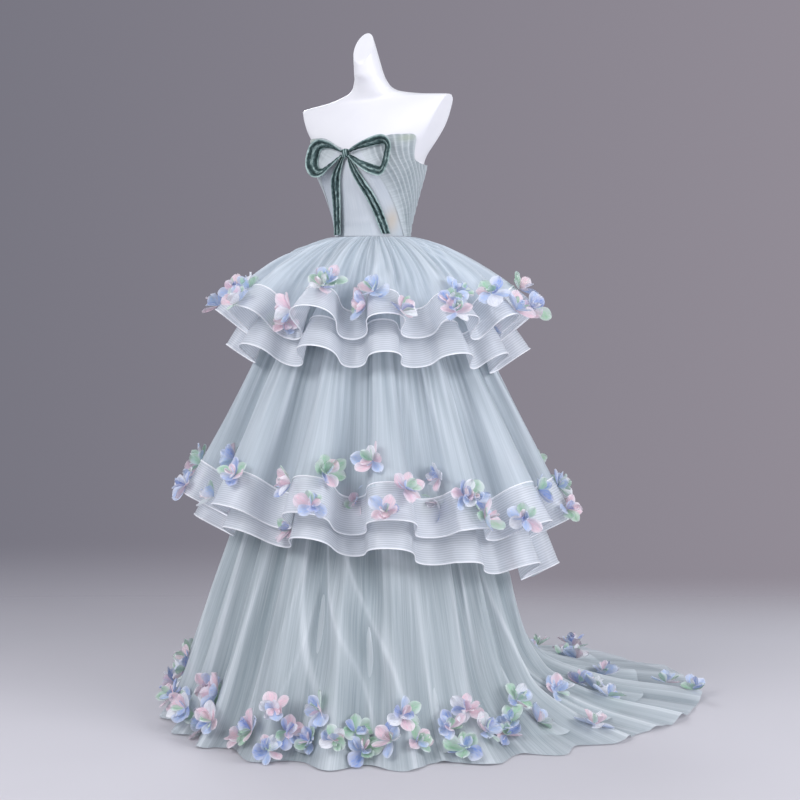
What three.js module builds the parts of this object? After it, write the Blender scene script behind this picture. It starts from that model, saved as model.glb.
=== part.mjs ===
// Strapless evening dress on a limbless dress form.
//
// Units are millimetres, +Z is up and the front faces -Y, so the wearer's left is +X.
// The origin is on the floor, on the axis of the form's pole. Angles around the pole are in
// degrees from +X, counter-clockwise from above, so the centre front is at 270 degrees.
//
// The skirt is made of nested walls of cloth. Each wall is a ring whose outer surface follows
// a profile from the waist to the hem, with gathers that deepen towards the hem.

import * as THREE from 'three';
import { mergeVertices } from 'three/addons/utils/BufferGeometryUtils.js';

// ---------------------------------------------------------------- driving sizes

const CLOTH = 2; // thickness of every cloth wall
const SEAM_GAP = 0.35; // gap between pieces that are sewn to each other
const SEAT_GAP = 0.6; // gap between the cloth and the form at the waist
const FLOOR_GAP = 1; // height of the skirt's underside over the floor

const WAIST_HEIGHT = 1095;
const FRONT = 270;
const TRAIN_DIRECTION = 43; // the train is swept towards the wearer's left and back
const SPREAD_DIRECTION = 288; // the hem is spread further on the floor towards the front
const FORM_COLUMNS = 28;

const POLE_RADIUS = 12.5;
const BASE_RADIUS = 150;
const BASE_EDGE = 8; // height of the base's rim
const BASE_CROWN = 14; // height of the base at the pole

// Sections of the form from the hips to the neck. front, back and side are measured from the
// section's centre, which lies forward of the pole by -centre. tilt is the rise of a section
// towards the back and lean its rise towards the wearer's left, for each millimetre.
const FORM_SECTIONS = [
  { height: 842, side: 104, front: 84, back: 86, centre: 0, tilt: 0, lean: 0 },
  { height: 862, side: 124, front: 100, back: 102, centre: 0, tilt: 0, lean: 0 },
  { height: 915, side: 134, front: 108, back: 110, centre: 0, tilt: 0, lean: 0 },
  { height: 985, side: 120, front: 94, back: 97, centre: 0, tilt: 0, lean: 0 },
  { height: 1050, side: 98, front: 79, back: 80, centre: 0, tilt: 0, lean: 0 },
  { height: 1095, side: 88, front: 73, back: 73, centre: 0, tilt: 0, lean: 0 },
  { height: 1140, side: 92, front: 78, back: 76, centre: 0, tilt: 0, lean: 0 },
  { height: 1190, side: 105, front: 91, back: 85, centre: 0, tilt: 0, lean: 0 },
  { height: 1235, side: 119, front: 103, back: 92, centre: 0, tilt: 0, lean: 0 },
  { height: 1275, side: 130, front: 104, back: 95, centre: 1, tilt: 0, lean: 0 },
  { height: 1315, side: 160, front: 90, back: 90, centre: 7, tilt: 0, lean: 0 },
  { height: 1350, side: 193, front: 76, back: 78, centre: 13, tilt: 0, lean: 0.02 },
  { height: 1382, side: 211, front: 60, back: 60, centre: 17, tilt: 0, lean: 0.04 },
  { height: 1402, side: 200, front: 46, back: 48, centre: 17, tilt: 0, lean: 0.045 },
  { height: 1411, side: 124, front: 42, back: 44, centre: 13, tilt: 0, lean: 0.045 },
  { height: 1425, side: 62, front: 40, back: 42, centre: 5, tilt: 0, lean: 0.03 },
  { height: 1448, side: 38, front: 37, back: 37, centre: -9, tilt: 0.1, lean: 0 },
  { height: 1477, side: 30, front: 31, back: 31, centre: -24, tilt: 0.7, lean: 0 },
  { height: 1519, side: 24, front: 19, back: 19, centre: -41, tilt: 1.9, lean: 0 },
];

// The flat oval where an arm would start lies in a plane that leans outwards.
const ARM_CUT = { lowHeight: 1262, lowReach: 124, highHeight: 1400, highReach: 190 };
const BUST = { height: 1238, angle: 33, depth: 15, spreadAngle: 25, spreadHeight: 46 };

// ---------------------------------------------------------------- small helpers

const radians = THREE.MathUtils.degToRad;
const mix = THREE.MathUtils.lerp;

/** Cubic Hermite value of one named column of a table, at a place along another column. */
function columnAt(table, along, place, name) {
  const last = table.length - 1;
  const rising = table[last][along] > table[0][along];
  const before = (row) => (rising ? table[row][along] <= place : table[row][along] >= place);
  let start = 0;
  while (start < last - 1 && before(start + 1)) start += 1;
  const slope = (row) => {
    const from = table[Math.max(row - 1, 0)];
    const to = table[Math.min(row + 1, last)];
    return (to[name] - from[name]) / (to[along] - from[along]);
  };
  const span = table[start + 1][along] - table[start][along];
  const t = THREE.MathUtils.clamp((place - table[start][along]) / span, 0, 1);
  const fromStart = (1 + 2 * t) * (1 - t) ** 2;
  const toEnd = t ** 2 * (3 - 2 * t);
  return (
    fromStart * table[start][name] +
    t * (1 - t) ** 2 * span * slope(start) +
    toEnd * table[start + 1][name] +
    t ** 2 * (t - 1) * span * slope(start + 1)
  );
}

/** Value of one named column of a table between two rows, on the straight line between them. */
function straightAt(table, height, name) {
  const upper = Math.max(table.findIndex((row) => row.height >= height), 1);
  const [low, high] = [table[upper - 1], table[upper]];
  return mix(low[name], high[name], (height - low.height) / (high.height - low.height));
}

/** Degrees between an angle and the centre front, positive towards the wearer's left. */
function fromFront(angle) {
  return THREE.MathUtils.euclideanModulo(angle - FRONT + 180, 360) - 180;
}

/** 1 in a direction and 0 opposite it, with a smooth fall between. */
function towards(angle, direction, sharpness) {
  return ((1 + Math.cos(radians(angle - direction))) / 2) ** sharpness;
}

function geometryFrom(points, triangles) {
  const geometry = new THREE.BufferGeometry();
  const flat = points.flatMap((point) => [point.x, point.y, point.z]);
  geometry.setAttribute('position', new THREE.Float32BufferAttribute(flat, 3));
  geometry.setIndex(triangles.flat());
  geometry.computeVertexNormals();
  return geometry;
}

/** Outward normals of a grid of points whose rows run down and whose columns run around. */
function gridNormals(grid, isRing) {
  const rows = grid.length;
  const columns = grid[0].length;
  return grid.map((row, i) =>
    row.map((_, j) => {
      const above = grid[Math.max(i - 1, 0)][j];
      const below = grid[Math.min(i + 1, rows - 1)][j];
      const next = isRing ? row[(j + 1) % columns] : row[Math.min(j + 1, columns - 1)];
      const previous = isRing ? row[(j + columns - 1) % columns] : row[Math.max(j - 1, 0)];
      const down = new THREE.Vector3().subVectors(below, above);
      const around = new THREE.Vector3().subVectors(next, previous);
      return down.cross(around).normalize();
    }),
  );
}

/**
 * A closed wall of cloth between an outer and an inner grid of points. A ring closes around
 * the pole, and any other wall is a panel with four edges.
 */
function wallBetween(outer, inner, isRing) {
  const rows = outer.length;
  const columns = outer[0].length;
  const half = rows * columns;
  const at = (i, j) => i * columns + (j % columns);
  const triangles = [];
  const steps = isRing ? columns : columns - 1;
  for (let i = 0; i < rows - 1; i += 1) {
    for (let j = 0; j < steps; j += 1) {
      const [a, b, c, d] = [at(i, j), at(i, j + 1), at(i + 1, j + 1), at(i + 1, j)];
      triangles.push([a, d, b], [b, d, c]);
      triangles.push([half + a, half + b, half + d], [half + b, half + c, half + d]);
    }
  }
  for (let j = 0; j < steps; j += 1) {
    const [a, b] = [at(0, j), at(0, j + 1)];
    const [c, d] = [at(rows - 1, j), at(rows - 1, j + 1)];
    triangles.push([a, b, half + b], [a, half + b, half + a]);
    triangles.push([c, half + d, d], [c, half + c, half + d]);
  }
  for (let i = 0; i < rows - 1 && !isRing; i += 1) {
    const [a, b] = [at(i, 0), at(i + 1, 0)];
    const [c, d] = [at(i, columns - 1), at(i + 1, columns - 1)];
    triangles.push([a, half + b, b], [a, half + a, half + b]);
    triangles.push([c, d, half + d], [c, half + d, half + c]);
  }
  return geometryFrom([...outer.flat(), ...inner.flat()], triangles);
}

/** The same grid moved along its normals by a distance that may change from point to point. */
function movedGrid(grid, normals, distance) {
  return grid.map((row, i) =>
    row.map((point, j) => point.clone().addScaledVector(normals[i][j], distance(i, j))),
  );
}

/** Mirrors a geometry from the wearer's left to the right and keeps its faces outward. */
function mirrored(geometry) {
  const copy = geometry.clone();
  copy.scale(-1, 1, 1);
  const index = Array.from(copy.index.array);
  for (let k = 0; k < index.length; k += 3) {
    [index[k + 1], index[k + 2]] = [index[k + 2], index[k + 1]];
  }
  copy.setIndex(index);
  copy.computeVertexNormals();
  return copy;
}

// ---------------------------------------------------------------- the dress form

/** A point on the form, moved out from it by a distance in its own section. */
function formPoint(angle, height, moveOut = 0) {
  const section = (name) => columnAt(FORM_SECTIONS, 'height', height, name);
  const turn = radians(angle);
  const depth = Math.sin(turn) < 0 ? section('front') : section('back');
  const aside = Math.abs(Math.abs(fromFront(angle)) - BUST.angle) / BUST.spreadAngle;
  const above = (height - BUST.height) / BUST.spreadHeight;
  const bust = BUST.depth * Math.exp(-(aside ** 2) - above ** 2);
  const cutShare = (height - ARM_CUT.lowHeight) / (ARM_CUT.highHeight - ARM_CUT.lowHeight);
  const reach = mix(ARM_CUT.lowReach, ARM_CUT.highReach, Math.max(cutShare, 0));
  const x = (section('side') + bust + moveOut) * Math.cos(turn);
  const y = (depth + bust + moveOut) * Math.sin(turn);
  const limit = reach + moveOut;
  const cutX = THREE.MathUtils.clamp(x, -limit, limit);
  const rise = section('tilt') * y + section('lean') * cutX;
  return new THREE.Vector3(cutX, y + section('centre'), height + rise);
}

function formTorso() {
  const points = [];
  for (const { height } of FORM_SECTIONS) {
    for (let j = 0; j < FORM_COLUMNS; j += 1) {
      points.push(formPoint((360 * j) / FORM_COLUMNS, height));
    }
  }
  const rows = FORM_SECTIONS.length;
  const at = (i, j) => i * FORM_COLUMNS + (j % FORM_COLUMNS);
  const [low, high] = [points.length, points.length + 1];
  points.push(new THREE.Vector3(0, FORM_SECTIONS[0].centre, FORM_SECTIONS[0].height));
  const top = FORM_SECTIONS[rows - 1];
  points.push(new THREE.Vector3(0, top.centre, top.height));
  const triangles = [];
  for (let j = 0; j < FORM_COLUMNS; j += 1) {
    for (let i = 0; i < rows - 1; i += 1) {
      const [a, b, c, d] = [at(i, j), at(i, j + 1), at(i + 1, j + 1), at(i + 1, j)];
      triangles.push([a, b, d], [b, c, d]);
    }
    triangles.push([low, at(0, j + 1), at(0, j)]);
    triangles.push([high, at(rows - 1, j), at(rows - 1, j + 1)]);
  }
  return geometryFrom(points, triangles);
}

/** A solid turned around the pole from a profile of radius and height. */
function turned(profile, segments) {
  const outline = profile.map(([radius, height]) => new THREE.Vector2(radius, height));
  const lathe = new THREE.LatheGeometry(outline, segments);
  lathe.deleteAttribute('normal');
  lathe.deleteAttribute('uv');
  lathe.rotateX(Math.PI / 2);
  const merged = mergeVertices(lathe, 1e-3);
  const index = merged.index.array;
  const kept = [];
  for (let k = 0; k < index.length; k += 3) {
    const [a, b, c] = [index[k], index[k + 1], index[k + 2]];
    if (a !== b && b !== c && c !== a) kept.push(a, b, c);
  }
  merged.setIndex(kept);
  merged.computeVertexNormals();
  return merged;
}

function formBase() {
  const profile = [
    [0, 0],
    [BASE_RADIUS, 0],
    [BASE_RADIUS, BASE_EDGE],
    [POLE_RADIUS * 2, BASE_CROWN],
    [0, BASE_CROWN],
  ];
  return turned(profile, 32);
}

function formPole() {
  const top = FORM_SECTIONS[0].height - SEAM_GAP;
  const bottom = BASE_CROWN + SEAM_GAP;
  return turned([[0, bottom], [POLE_RADIUS, bottom], [POLE_RADIUS, top], [0, top]], 14);
}

// ---------------------------------------------------------------- the bodice

const BODICE_ROWS = 5;
const BODICE_EASE = 5.8; // the bodice stands this far off the form above the waist
const PLEATS = 12; // pleats on each cup and side panel
const PLEAT_DEPTH = 1.6;
const CUP_SEAM_TOP = 9; // degrees from the front where the cup's seam meets the neckline
const CUP_SEAM_WAIST = 80; // and where it meets the waist
const SIDE_SEAM = 106;
const SIDE_TOP = 97; // the last pleat starts at this angle
const ZIP_HALF_ANGLE = 3.2;

// Height of the top edge, by degrees from the centre front.
const NECKLINE = [
  { aside: 0, height: 1284 },
  { aside: 12, height: 1296 },
  { aside: 28, height: 1317 },
  { aside: 42, height: 1320 },
  { aside: 54, height: 1318 },
  { aside: 61, height: 1302 },
  { aside: 68, height: 1278 },
  { aside: 76, height: 1263 },
  { aside: 88, height: 1257 },
  { aside: 106, height: 1256 },
  { aside: 180, height: 1256 },
];

const bodiceBottom = WAIST_HEIGHT + SEAM_GAP;
const necklineHeight = (aside) => columnAt(NECKLINE, 'aside', aside, 'height');

/** Distance of the bodice's inside from the form: seated at the waist, eased above it. */
function bodiceEase(height) {
  const share = THREE.MathUtils.clamp((height - WAIST_HEIGHT) / 60, 0, 1);
  return mix(SEAT_GAP * 2, BODICE_EASE, share);
}

/** A point of the bodice's outer surface. */
function bodicePoint(aside, height, moveOut = 0) {
  return formPoint(FRONT + aside, height, bodiceEase(height) + CLOTH + moveOut);
}

/** Builds a panel of the bodice from its outer points, which may be raised into pleats. */
function bodicePanel(pointAt, rows, columns, raise) {
  const base = [];
  for (let i = 0; i <= rows; i += 1) {
    const row = [];
    for (let j = 0; j <= columns; j += 1) row.push(pointAt(i / rows, j / columns));
    base.push(row);
  }
  const normals = gridNormals(base, false);
  const outer = movedGrid(base, normals, (i, j) => raise(j));
  const inner = movedGrid(base, normals, () => -CLOTH);
  return wallBetween(outer, inner, false);
}

const plain = () => 0;
const seamAngle = (down) => mix(CUP_SEAM_TOP, CUP_SEAM_WAIST, down);

function bodiceFront() {
  const pointAt = (down, across) => {
    const share = 2 * across - 1;
    const aside = share * seamAngle(down);
    const top = mix(necklineHeight(Math.abs(share) * CUP_SEAM_TOP), bodiceBottom, down);
    return bodicePoint(aside, top);
  };
  return bodicePanel(pointAt, BODICE_ROWS, 12, plain);
}

/** The wearer's left cup and side: pleats fall from the neckline to the side seam. */
function bodiceSide() {
  const gapAngle = 0.55;
  const waistShare = 0.3; // share of the pleats that end at the waist
  const pointAt = (down, across) => {
    const topAngle = mix(CUP_SEAM_TOP, SIDE_TOP, across);
    const alongWaist = Math.min(across / waistShare, 1);
    const upSeam = Math.max((across - waistShare) / (1 - waistShare), 0);
    const endAngle = mix(CUP_SEAM_WAIST, SIDE_SEAM, alongWaist);
    const endHeight = mix(bodiceBottom, necklineHeight(SIDE_SEAM), upSeam);
    const aside = mix(topAngle, endAngle, down) + gapAngle * Math.max(1 - across / waistShare, 0);
    return bodicePoint(aside, mix(necklineHeight(topAngle), endHeight, down));
  };
  const raise = (j) => (j % 2 === 1 ? PLEAT_DEPTH : 0);
  return bodicePanel(pointAt, BODICE_ROWS, PLEATS * 2, raise);
}

/** The wearer's left back panel. */
function bodiceBack() {
  const gapAngle = 0.35;
  const pointAt = (down, across) => {
    const aside = mix(SIDE_SEAM + gapAngle, 180 - ZIP_HALF_ANGLE - gapAngle, across);
    return bodicePoint(aside, mix(necklineHeight(aside), bodiceBottom, down));
  };
  return bodicePanel(pointAt, BODICE_ROWS, 6, plain);
}

function backZip() {
  const pointAt = (down, across) => {
    const aside = mix(180 - ZIP_HALF_ANGLE, 180 + ZIP_HALF_ANGLE, across);
    return bodicePoint(aside, mix(necklineHeight(180), bodiceBottom, down));
  };
  return bodicePanel(pointAt, BODICE_ROWS, 2, plain);
}

// ---------------------------------------------------------------- the ribbon bow

const RIBBON_WIDTH = 25;
const RIBBON_GATHERED = 9; // the ribbon's width where the knot holds it
const KNOT = { height: 1278, width: 17, tall: 20, deep: 15 };
const BOW_CLEAR = 1; // gap between the bow and the bodice
const LOOP_FLARE = 56; // degrees by which a loop's ribbon opens towards the front

// Middle line of each loop, from the knot out and back. aside is across the front and rise is
// over the knot's middle.
const LEFT_LOOP = [
  { aside: 9.5, rise: 5 },
  { aside: 51, rise: 20 },
  { aside: 84, rise: 28 },
  { aside: 95, rise: 19 },
  { aside: 97, rise: -3 },
  { aside: 95, rise: -26 },
  { aside: 87, rise: -40 },
  { aside: 72, rise: -38 },
  { aside: 46, rise: -26 },
  { aside: 9.5, rise: -5 },
];
const RIGHT_LOOP = [
  { aside: 9.5, rise: 5 },
  { aside: 47, rise: 20 },
  { aside: 78, rise: 23 },
  { aside: 90, rise: 15 },
  { aside: 95, rise: -3 },
  { aside: 93, rise: -25 },
  { aside: 81, rise: -39 },
  { aside: 64, rise: -40 },
  { aside: 40, rise: -28 },
  { aside: 9.5, rise: -5 },
];

// Middle line of each tail, from the knot to the waist. aside is in degrees from the centre
// front and out is the distance from the bodice.
const LEFT_TAIL = [
  { height: 1267.3, aside: 3.5, out: 4, width: 9 },
  { height: 1228, aside: 12, out: 4, width: 20 },
  { height: 1170, aside: 27.5, out: 3, width: 22 },
  { height: 1125, aside: 39, out: 2.5, width: 22 },
  { height: 1100, aside: 45, out: 2.5, width: 21 },
];
const RIGHT_TAIL = [
  { height: 1267.3, aside: -3.5, out: 4, width: 9 },
  { height: 1228, aside: -11, out: 4, width: 21 },
  { height: 1170, aside: -20, out: 6, width: 25 },
  { height: 1125, aside: -27, out: 8, width: 25 },
  { height: 1098, aside: -30, out: 9, width: 25 },
];

/** Where a line straight back from a place in front of the bodice meets its outer surface. */
function bodiceFaceAt(x, height) {
  let [near, far] = [0, 90];
  for (let step = 0; step < 24; step += 1) {
    const middle = (near + far) / 2;
    if (bodicePoint(middle, height).x < Math.abs(x)) near = middle;
    else far = middle;
  }
  return bodicePoint(Math.sign(x) * near, height, PLEAT_DEPTH);
}

/** A ribbon with a rectangular section, from the pairs of points on its two long edges. */
function ribbonBody(edges, thickness) {
  const corners = edges.flatMap(([first, second], k) => {
    const before = edges[Math.max(k - 1, 0)];
    const after = edges[Math.min(k + 1, edges.length - 1)];
    const along = new THREE.Vector3().addVectors(after[0], after[1]);
    along.sub(before[0]).sub(before[1]);
    const across = new THREE.Vector3().subVectors(second, first);
    const offset = along.cross(across).setLength(thickness / 2);
    return [
      first.clone().add(offset),
      second.clone().add(offset),
      second.clone().sub(offset),
      first.clone().sub(offset),
    ];
  });
  const triangles = [];
  for (let k = 0; k < edges.length - 1; k += 1) {
    for (let side = 0; side < 4; side += 1) {
      const [a, b] = [4 * k + side, 4 * k + ((side + 1) % 4)];
      triangles.push([a, a + 4, b], [b, a + 4, b + 4]);
    }
  }
  const last = corners.length - 4;
  triangles.push([0, 1, 2], [0, 2, 3]);
  triangles.push([last, last + 2, last + 1], [last, last + 3, last + 2]);
  return geometryFrom(corners, triangles);
}

/**
 * A loop of ribbon that stands out from the bodice and opens towards the front, so that its
 * hollow faces forward. side is 1 for the wearer's left and -1 for the right.
 */
function bowLoop(table, side) {
  const line = table.map(({ aside, rise }) => new THREE.Vector3(aside, 0, rise));
  const curve = new THREE.CatmullRomCurve3(line, false, 'centripetal');
  const stations = 16;
  const knotFace = bodiceFaceAt(0, KNOT.height);
  const knotMiddle = knotFace.y - BOW_CLEAR - KNOT.deep / 2;
  const edges = [];
  for (let k = 0; k <= stations; k += 1) {
    const place = curve.getPointAt(k / stations);
    const along = curve.getTangentAt(k / stations);
    const open = Math.sin((Math.PI * k) / stations) ** 0.6;
    const half = mix(RIBBON_GATHERED, RIBBON_WIDTH, open) / 2;
    const flare = half * Math.sin(radians(LOOP_FLARE * open));
    const deep = half * Math.cos(radians(LOOP_FLARE * open));
    const outward = new THREE.Vector2(-along.z, along.x).multiplyScalar(flare);
    const back = new THREE.Vector3(place.x - outward.x, 0, place.z - outward.y + KNOT.height);
    const front = new THREE.Vector3(place.x + outward.x, 0, place.z + outward.y + KNOT.height);
    const resting = bodiceFaceAt(side * back.x, back.z).y - BOW_CLEAR - deep;
    const y = Math.min(mix(knotMiddle, resting, open), resting);
    back.set(side * back.x, y + deep, back.z);
    front.set(side * front.x, y - deep, front.z);
    edges.push(side > 0 ? [front, back] : [back, front]);
  }
  return ribbonBody(edges, CLOTH);
}

function bowTail(table) {
  const stations = 8;
  const edges = [];
  for (let k = 0; k <= stations; k += 1) {
    const height = mix(table[0].height, table[table.length - 1].height, k / stations);
    const read = (name) => columnAt(table, 'height', height, name);
    const moveOut = PLEAT_DEPTH + read('out');
    const middle = bodicePoint(read('aside'), height, moveOut);
    const halfAngle = THREE.MathUtils.radToDeg(read('width') / 2 / Math.hypot(middle.x, middle.y));
    const edgeAt = (side) => bodicePoint(read('aside') + side * halfAngle, height, moveOut);
    edges.push([edgeAt(-1), edgeAt(1)]);
  }
  return ribbonBody(edges, CLOTH);
}

function bowKnot() {
  const face = bodiceFaceAt(0, KNOT.height);
  const box = new THREE.BoxGeometry(KNOT.width, KNOT.deep, KNOT.tall, 2, 2, 2);
  box.deleteAttribute('normal');
  box.deleteAttribute('uv');
  const knot = mergeVertices(box, 1e-3);
  const place = knot.attributes.position;
  const rounding = 0.82;
  for (let k = 0; k < place.count; k += 1) {
    const point = new THREE.Vector3().fromBufferAttribute(place, k);
    const onFaces =
      (Math.abs(point.x) > KNOT.width / 4) +
      (Math.abs(point.y) > KNOT.deep / 4) +
      (Math.abs(point.z) > KNOT.tall / 4);
    point.multiplyScalar(onFaces === 3 ? rounding : 1);
    place.setXYZ(k, point.x, point.y, point.z);
  }
  knot.translate(0, face.y - BOW_CLEAR - KNOT.deep / 2 + SEAM_GAP, KNOT.height);
  knot.computeVertexNormals();
  return knot;
}

// ---------------------------------------------------------------- the skirt's tiers

// Each layer of a tier has a profile from the waist to the hem, as a Bezier curve of radius and
// height that starts at its top edge, where the wall leans by rimSlope. Its waves move it by
// swell, in a direction that leans from upright by lean, at the waist and at the hem. growth
// says how late the waves deepen, and undercut pinches their sides. Towards the train the hem
// is longer: it lies further out and down. braid is the share of the profile where the
// horsehair braid starts, and rows are the shares of the tulle above it.
const TIER1_WAVES = { count: 13, phase: 20, wander: 34 };
const TIER2_WAVES = { count: 14, phase: 75, wander: 40 };

// Slow changes around the pole that keep the waves and folds uneven. times is how often one
// comes and goes in a turn.
const WAVE_SPACING = [
  { times: 2, phase: 40, share: 1 },
  { times: 5, phase: 0, share: 0.5 },
];
const WAVE_DEPTH = [
  { times: 3, phase: 60, share: 0.22 },
  { times: 4, phase: 0, share: 0.12 },
];
const FOLD_SPACING = [
  { times: 3, phase: 0, share: 1 },
  { times: 7, phase: 90, share: 0.6 },
];

const TIER_LAYERS = {
  tier1_outer: {
    columns: 104,
    rows: [0, 0.34, 0.6, 0.79],
    braid: 0.79,
    profile: [[176, 1074], [264, 1000], [330, 902]],
    waves: TIER1_WAVES,
    swell: 48,
    growth: 1.5,
    undercut: 1.05,
    rimSlope: 22,
    lean: [12, 50],
    longer: { out: 6, down: 18 },
  },
  tier1_inner: {
    columns: 78,
    rows: [0, 0.42, 0.76],
    braid: 0.76,
    profile: [[166, 1063], [254, 962], [316, 832]],
    waves: TIER1_WAVES,
    swell: 34,
    growth: 1.6,
    undercut: 0.7,
    rimSlope: 28,
    lean: [12, 54],
    longer: { out: 8, down: 24 },
  },
  tier2_outer: {
    columns: 112,
    rows: [0, 0.36, 0.64, 0.84],
    braid: 0.84,
    profile: [[186, 1030], [276, 740], [402, 492]],
    waves: TIER2_WAVES,
    swell: 50,
    growth: 1.7,
    undercut: 0.95,
    rimSlope: 50,
    lean: [20, 60],
    longer: { out: 16, down: 70 },
  },
  tier2_inner: {
    columns: 84,
    rows: [0, 0.36, 0.83],
    braid: 0.83,
    profile: [[173, 1027], [261, 732], [388, 446]],
    waves: TIER2_WAVES,
    swell: 36,
    growth: 1.8,
    undercut: 0.6,
    rimSlope: 55,
    lean: [20, 60],
    longer: { out: 14, down: 130 },
  },
};

// How far each layer's top edge lies under the waist seam, one layer under the other.
const RIM_DROPS = {
  tier1_outer: 0,
  tier1_inner: 3.1,
  tier2_outer: 7.2,
  tier2_inner: 13.8,
  tier3_skirt: 21.2,
  underskirt: 37,
};

/** Height of a layer's top edge at the waist. */
function rimHeight(name) {
  return WAIST_HEIGHT - SEAM_GAP - RIM_DROPS[name];
}

/** Half width and half depth of a layer's top edge, whose wall leans by a slope. */
function rimRadii(name, slope, columns) {
  const under = rimHeight(name) - CLOTH;
  const side = straightAt(FORM_SECTIONS, under, 'side');
  const flatness = side * (1 - Math.cos(Math.PI / columns));
  const moveOut = SEAT_GAP + CLOTH * Math.sin(slope) + flatness;
  return { side: side + moveOut, depth: straightAt(FORM_SECTIONS, under, 'back') + moveOut };
}

/** Sum of a few slow changes at an angle around the pole. */
function drift(terms, turn) {
  return terms.reduce(
    (sum, { times, phase, share }) => sum + share * Math.sin(radians(times * turn + phase)),
    0,
  );
}

/** Value of a cubic Bezier curve with four control values. */
function bezierAt([start, first, second, end], t) {
  const left = 1 - t;
  return left ** 3 * start + 3 * t * left ** 2 * first + 3 * t ** 2 * left * second + t ** 3 * end;
}

/** A tier's outer surface at an angle around the pole and a share of the way to the hem. */
function tierPoint(name, turn, down) {
  const layer = TIER_LAYERS[name];
  const rim = rimRadii(name, radians(layer.rimSlope), layer.columns);
  const { count, phase, wander } = layer.waves;
  const wavePhase = radians(count * turn + phase + wander * drift(WAVE_SPACING, turn));
  const grown = down ** layer.growth;
  const pinch = (layer.undercut * grown * Math.sin(2 * wavePhase)) / (2 * count);
  const angle = radians(turn) + pinch;
  const long = towards(turn, TRAIN_DIRECTION, 2) * down ** 3;
  const swell = layer.swell * grown * (1 + drift(WAVE_DEPTH, turn)) * Math.cos(wavePhase);
  const lean = radians(mix(layer.lean[0], layer.lean[1], down));
  const out = swell * Math.sin(lean) + layer.longer.out * long;
  const fall = layer.longer.down * long - swell * Math.cos(lean);
  const radii = layer.profile.map(([radius]) => radius);
  const heights = layer.profile.map(([, height]) => height);
  return new THREE.Vector3(
    (bezierAt([rim.side, ...radii], down) + out) * Math.cos(angle),
    (bezierAt([rim.depth, ...radii], down) + out) * Math.sin(angle),
    bezierAt([rimHeight(name), ...heights], down) - fall,
  );
}

/** Outer points and normals of a tier's layer at the given shares of its profile. */
function tierGrid(name, shares) {
  const { columns } = TIER_LAYERS[name];
  const points = shares.map((down) =>
    Array.from({ length: columns }, (_, j) => tierPoint(name, (360 * j) / columns, down)),
  );
  return { points, normals: gridNormals(points, true) };
}

function tierWall({ points, normals }) {
  return wallBetween(points, movedGrid(points, normals, () => -CLOTH), true);
}

/** Share of the profile that a seam's gap takes. */
const braidGapShare = 0.0012;

// ---------------------------------------------------------------- the long skirt

const SKIRT_COLUMNS = 100;
const UNDERSKIRT_COLUMNS = 28;
const SKIRT_FOLDS = { count: 21, phase: 30, wander: 50 };
const TRAIN_LENGTH = 325; // how far the train reaches past the rest of the hem

// Sections of the long skirt. radius holds all round but towards the train, where it is train,
// and share is how much of the train's extra length lies inside the section. spread is how much
// further out the cloth lies towards the front. fold is the depth of the gathers.
const SKIRT_SECTIONS = [
  { height: 985, radius: 134, train: 134, share: 0, spread: 0, fold: 2.2 },
  { height: 600, radius: 256, train: 234, share: 0, spread: 6, fold: 12 },
  { height: 330, radius: 344, train: 292, share: 0, spread: 10, fold: 17 },
  { height: 110, radius: 416, train: 362, share: 0.05, spread: 16, fold: 21 },
  { height: 36, radius: 446, train: 440, share: 0.42, spread: 24, fold: 23 },
  { height: 3.4, radius: 466, train: 470, share: 1, spread: 34, fold: 22 },
];
const UNDERSKIRT_SECTIONS = [
  { height: 985, radius: 125 },
  { height: 330, radius: 268 },
  { height: 24, radius: 336 },
];

const SKIRT_RIM_SLOPE = radians(66);

/** A point of the long skirt's outer surface at an angle and in a section. */
function skirtPoint(turn, section) {
  const { count, phase, wander } = SKIRT_FOLDS;
  const foldPhase = radians(count * turn + phase + wander * drift(FOLD_SPACING, turn));
  const trainward = towards(turn, TRAIN_DIRECTION, 2.2);
  const lying = section.share * towards(turn, TRAIN_DIRECTION, 5.5);
  const flat = THREE.MathUtils.clamp((lying - 0.2) / 0.5, 0, 1);
  const wave = section.fold * Math.cos(foldPhase);
  const hump = section.fold * 0.5 * (1 + Math.cos(foldPhase)) * flat * (1 - 0.55 * section.share);
  const around = mix(section.radius, section.train, trainward);
  const spread = section.spread * towards(turn, SPREAD_DIRECTION, 2);
  const radius = around + spread + lying * TRAIN_LENGTH + wave * (1 - 0.8 * flat);
  return new THREE.Vector3(
    radius * Math.cos(radians(turn)),
    radius * Math.sin(radians(turn)),
    section.height + hump,
  );
}

/** The elliptical top row of a skirt that starts under the tiers. */
function skirtRim(name, columns) {
  const rim = rimRadii(name, SKIRT_RIM_SLOPE, columns);
  return Array.from({ length: columns }, (_, j) => {
    const turn = (2 * Math.PI * j) / columns;
    return new THREE.Vector3(rim.side * Math.cos(turn), rim.depth * Math.sin(turn), rimHeight(name));
  });
}

function skirtGrid(name, columns, sections, pointAt) {
  const rows = sections.map((section) =>
    Array.from({ length: columns }, (_, j) => pointAt((360 * j) / columns, section)),
  );
  const points = [skirtRim(name, columns), ...rows];
  return { points, normals: gridNormals(points, true) };
}

/** The wall inside a grid, kept off the floor. */
function skirtWall({ points, normals }) {
  const inner = movedGrid(points, normals, () => -CLOTH);
  for (const point of inner.flat()) point.z = Math.max(point.z, FLOOR_GAP);
  return wallBetween(points, inner, true);
}

const underskirtPoint = (turn, { radius, height }) =>
  new THREE.Vector3(radius * Math.cos(radians(turn)), radius * Math.sin(radians(turn)), height);

// ---------------------------------------------------------------- the organza flowers

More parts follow.
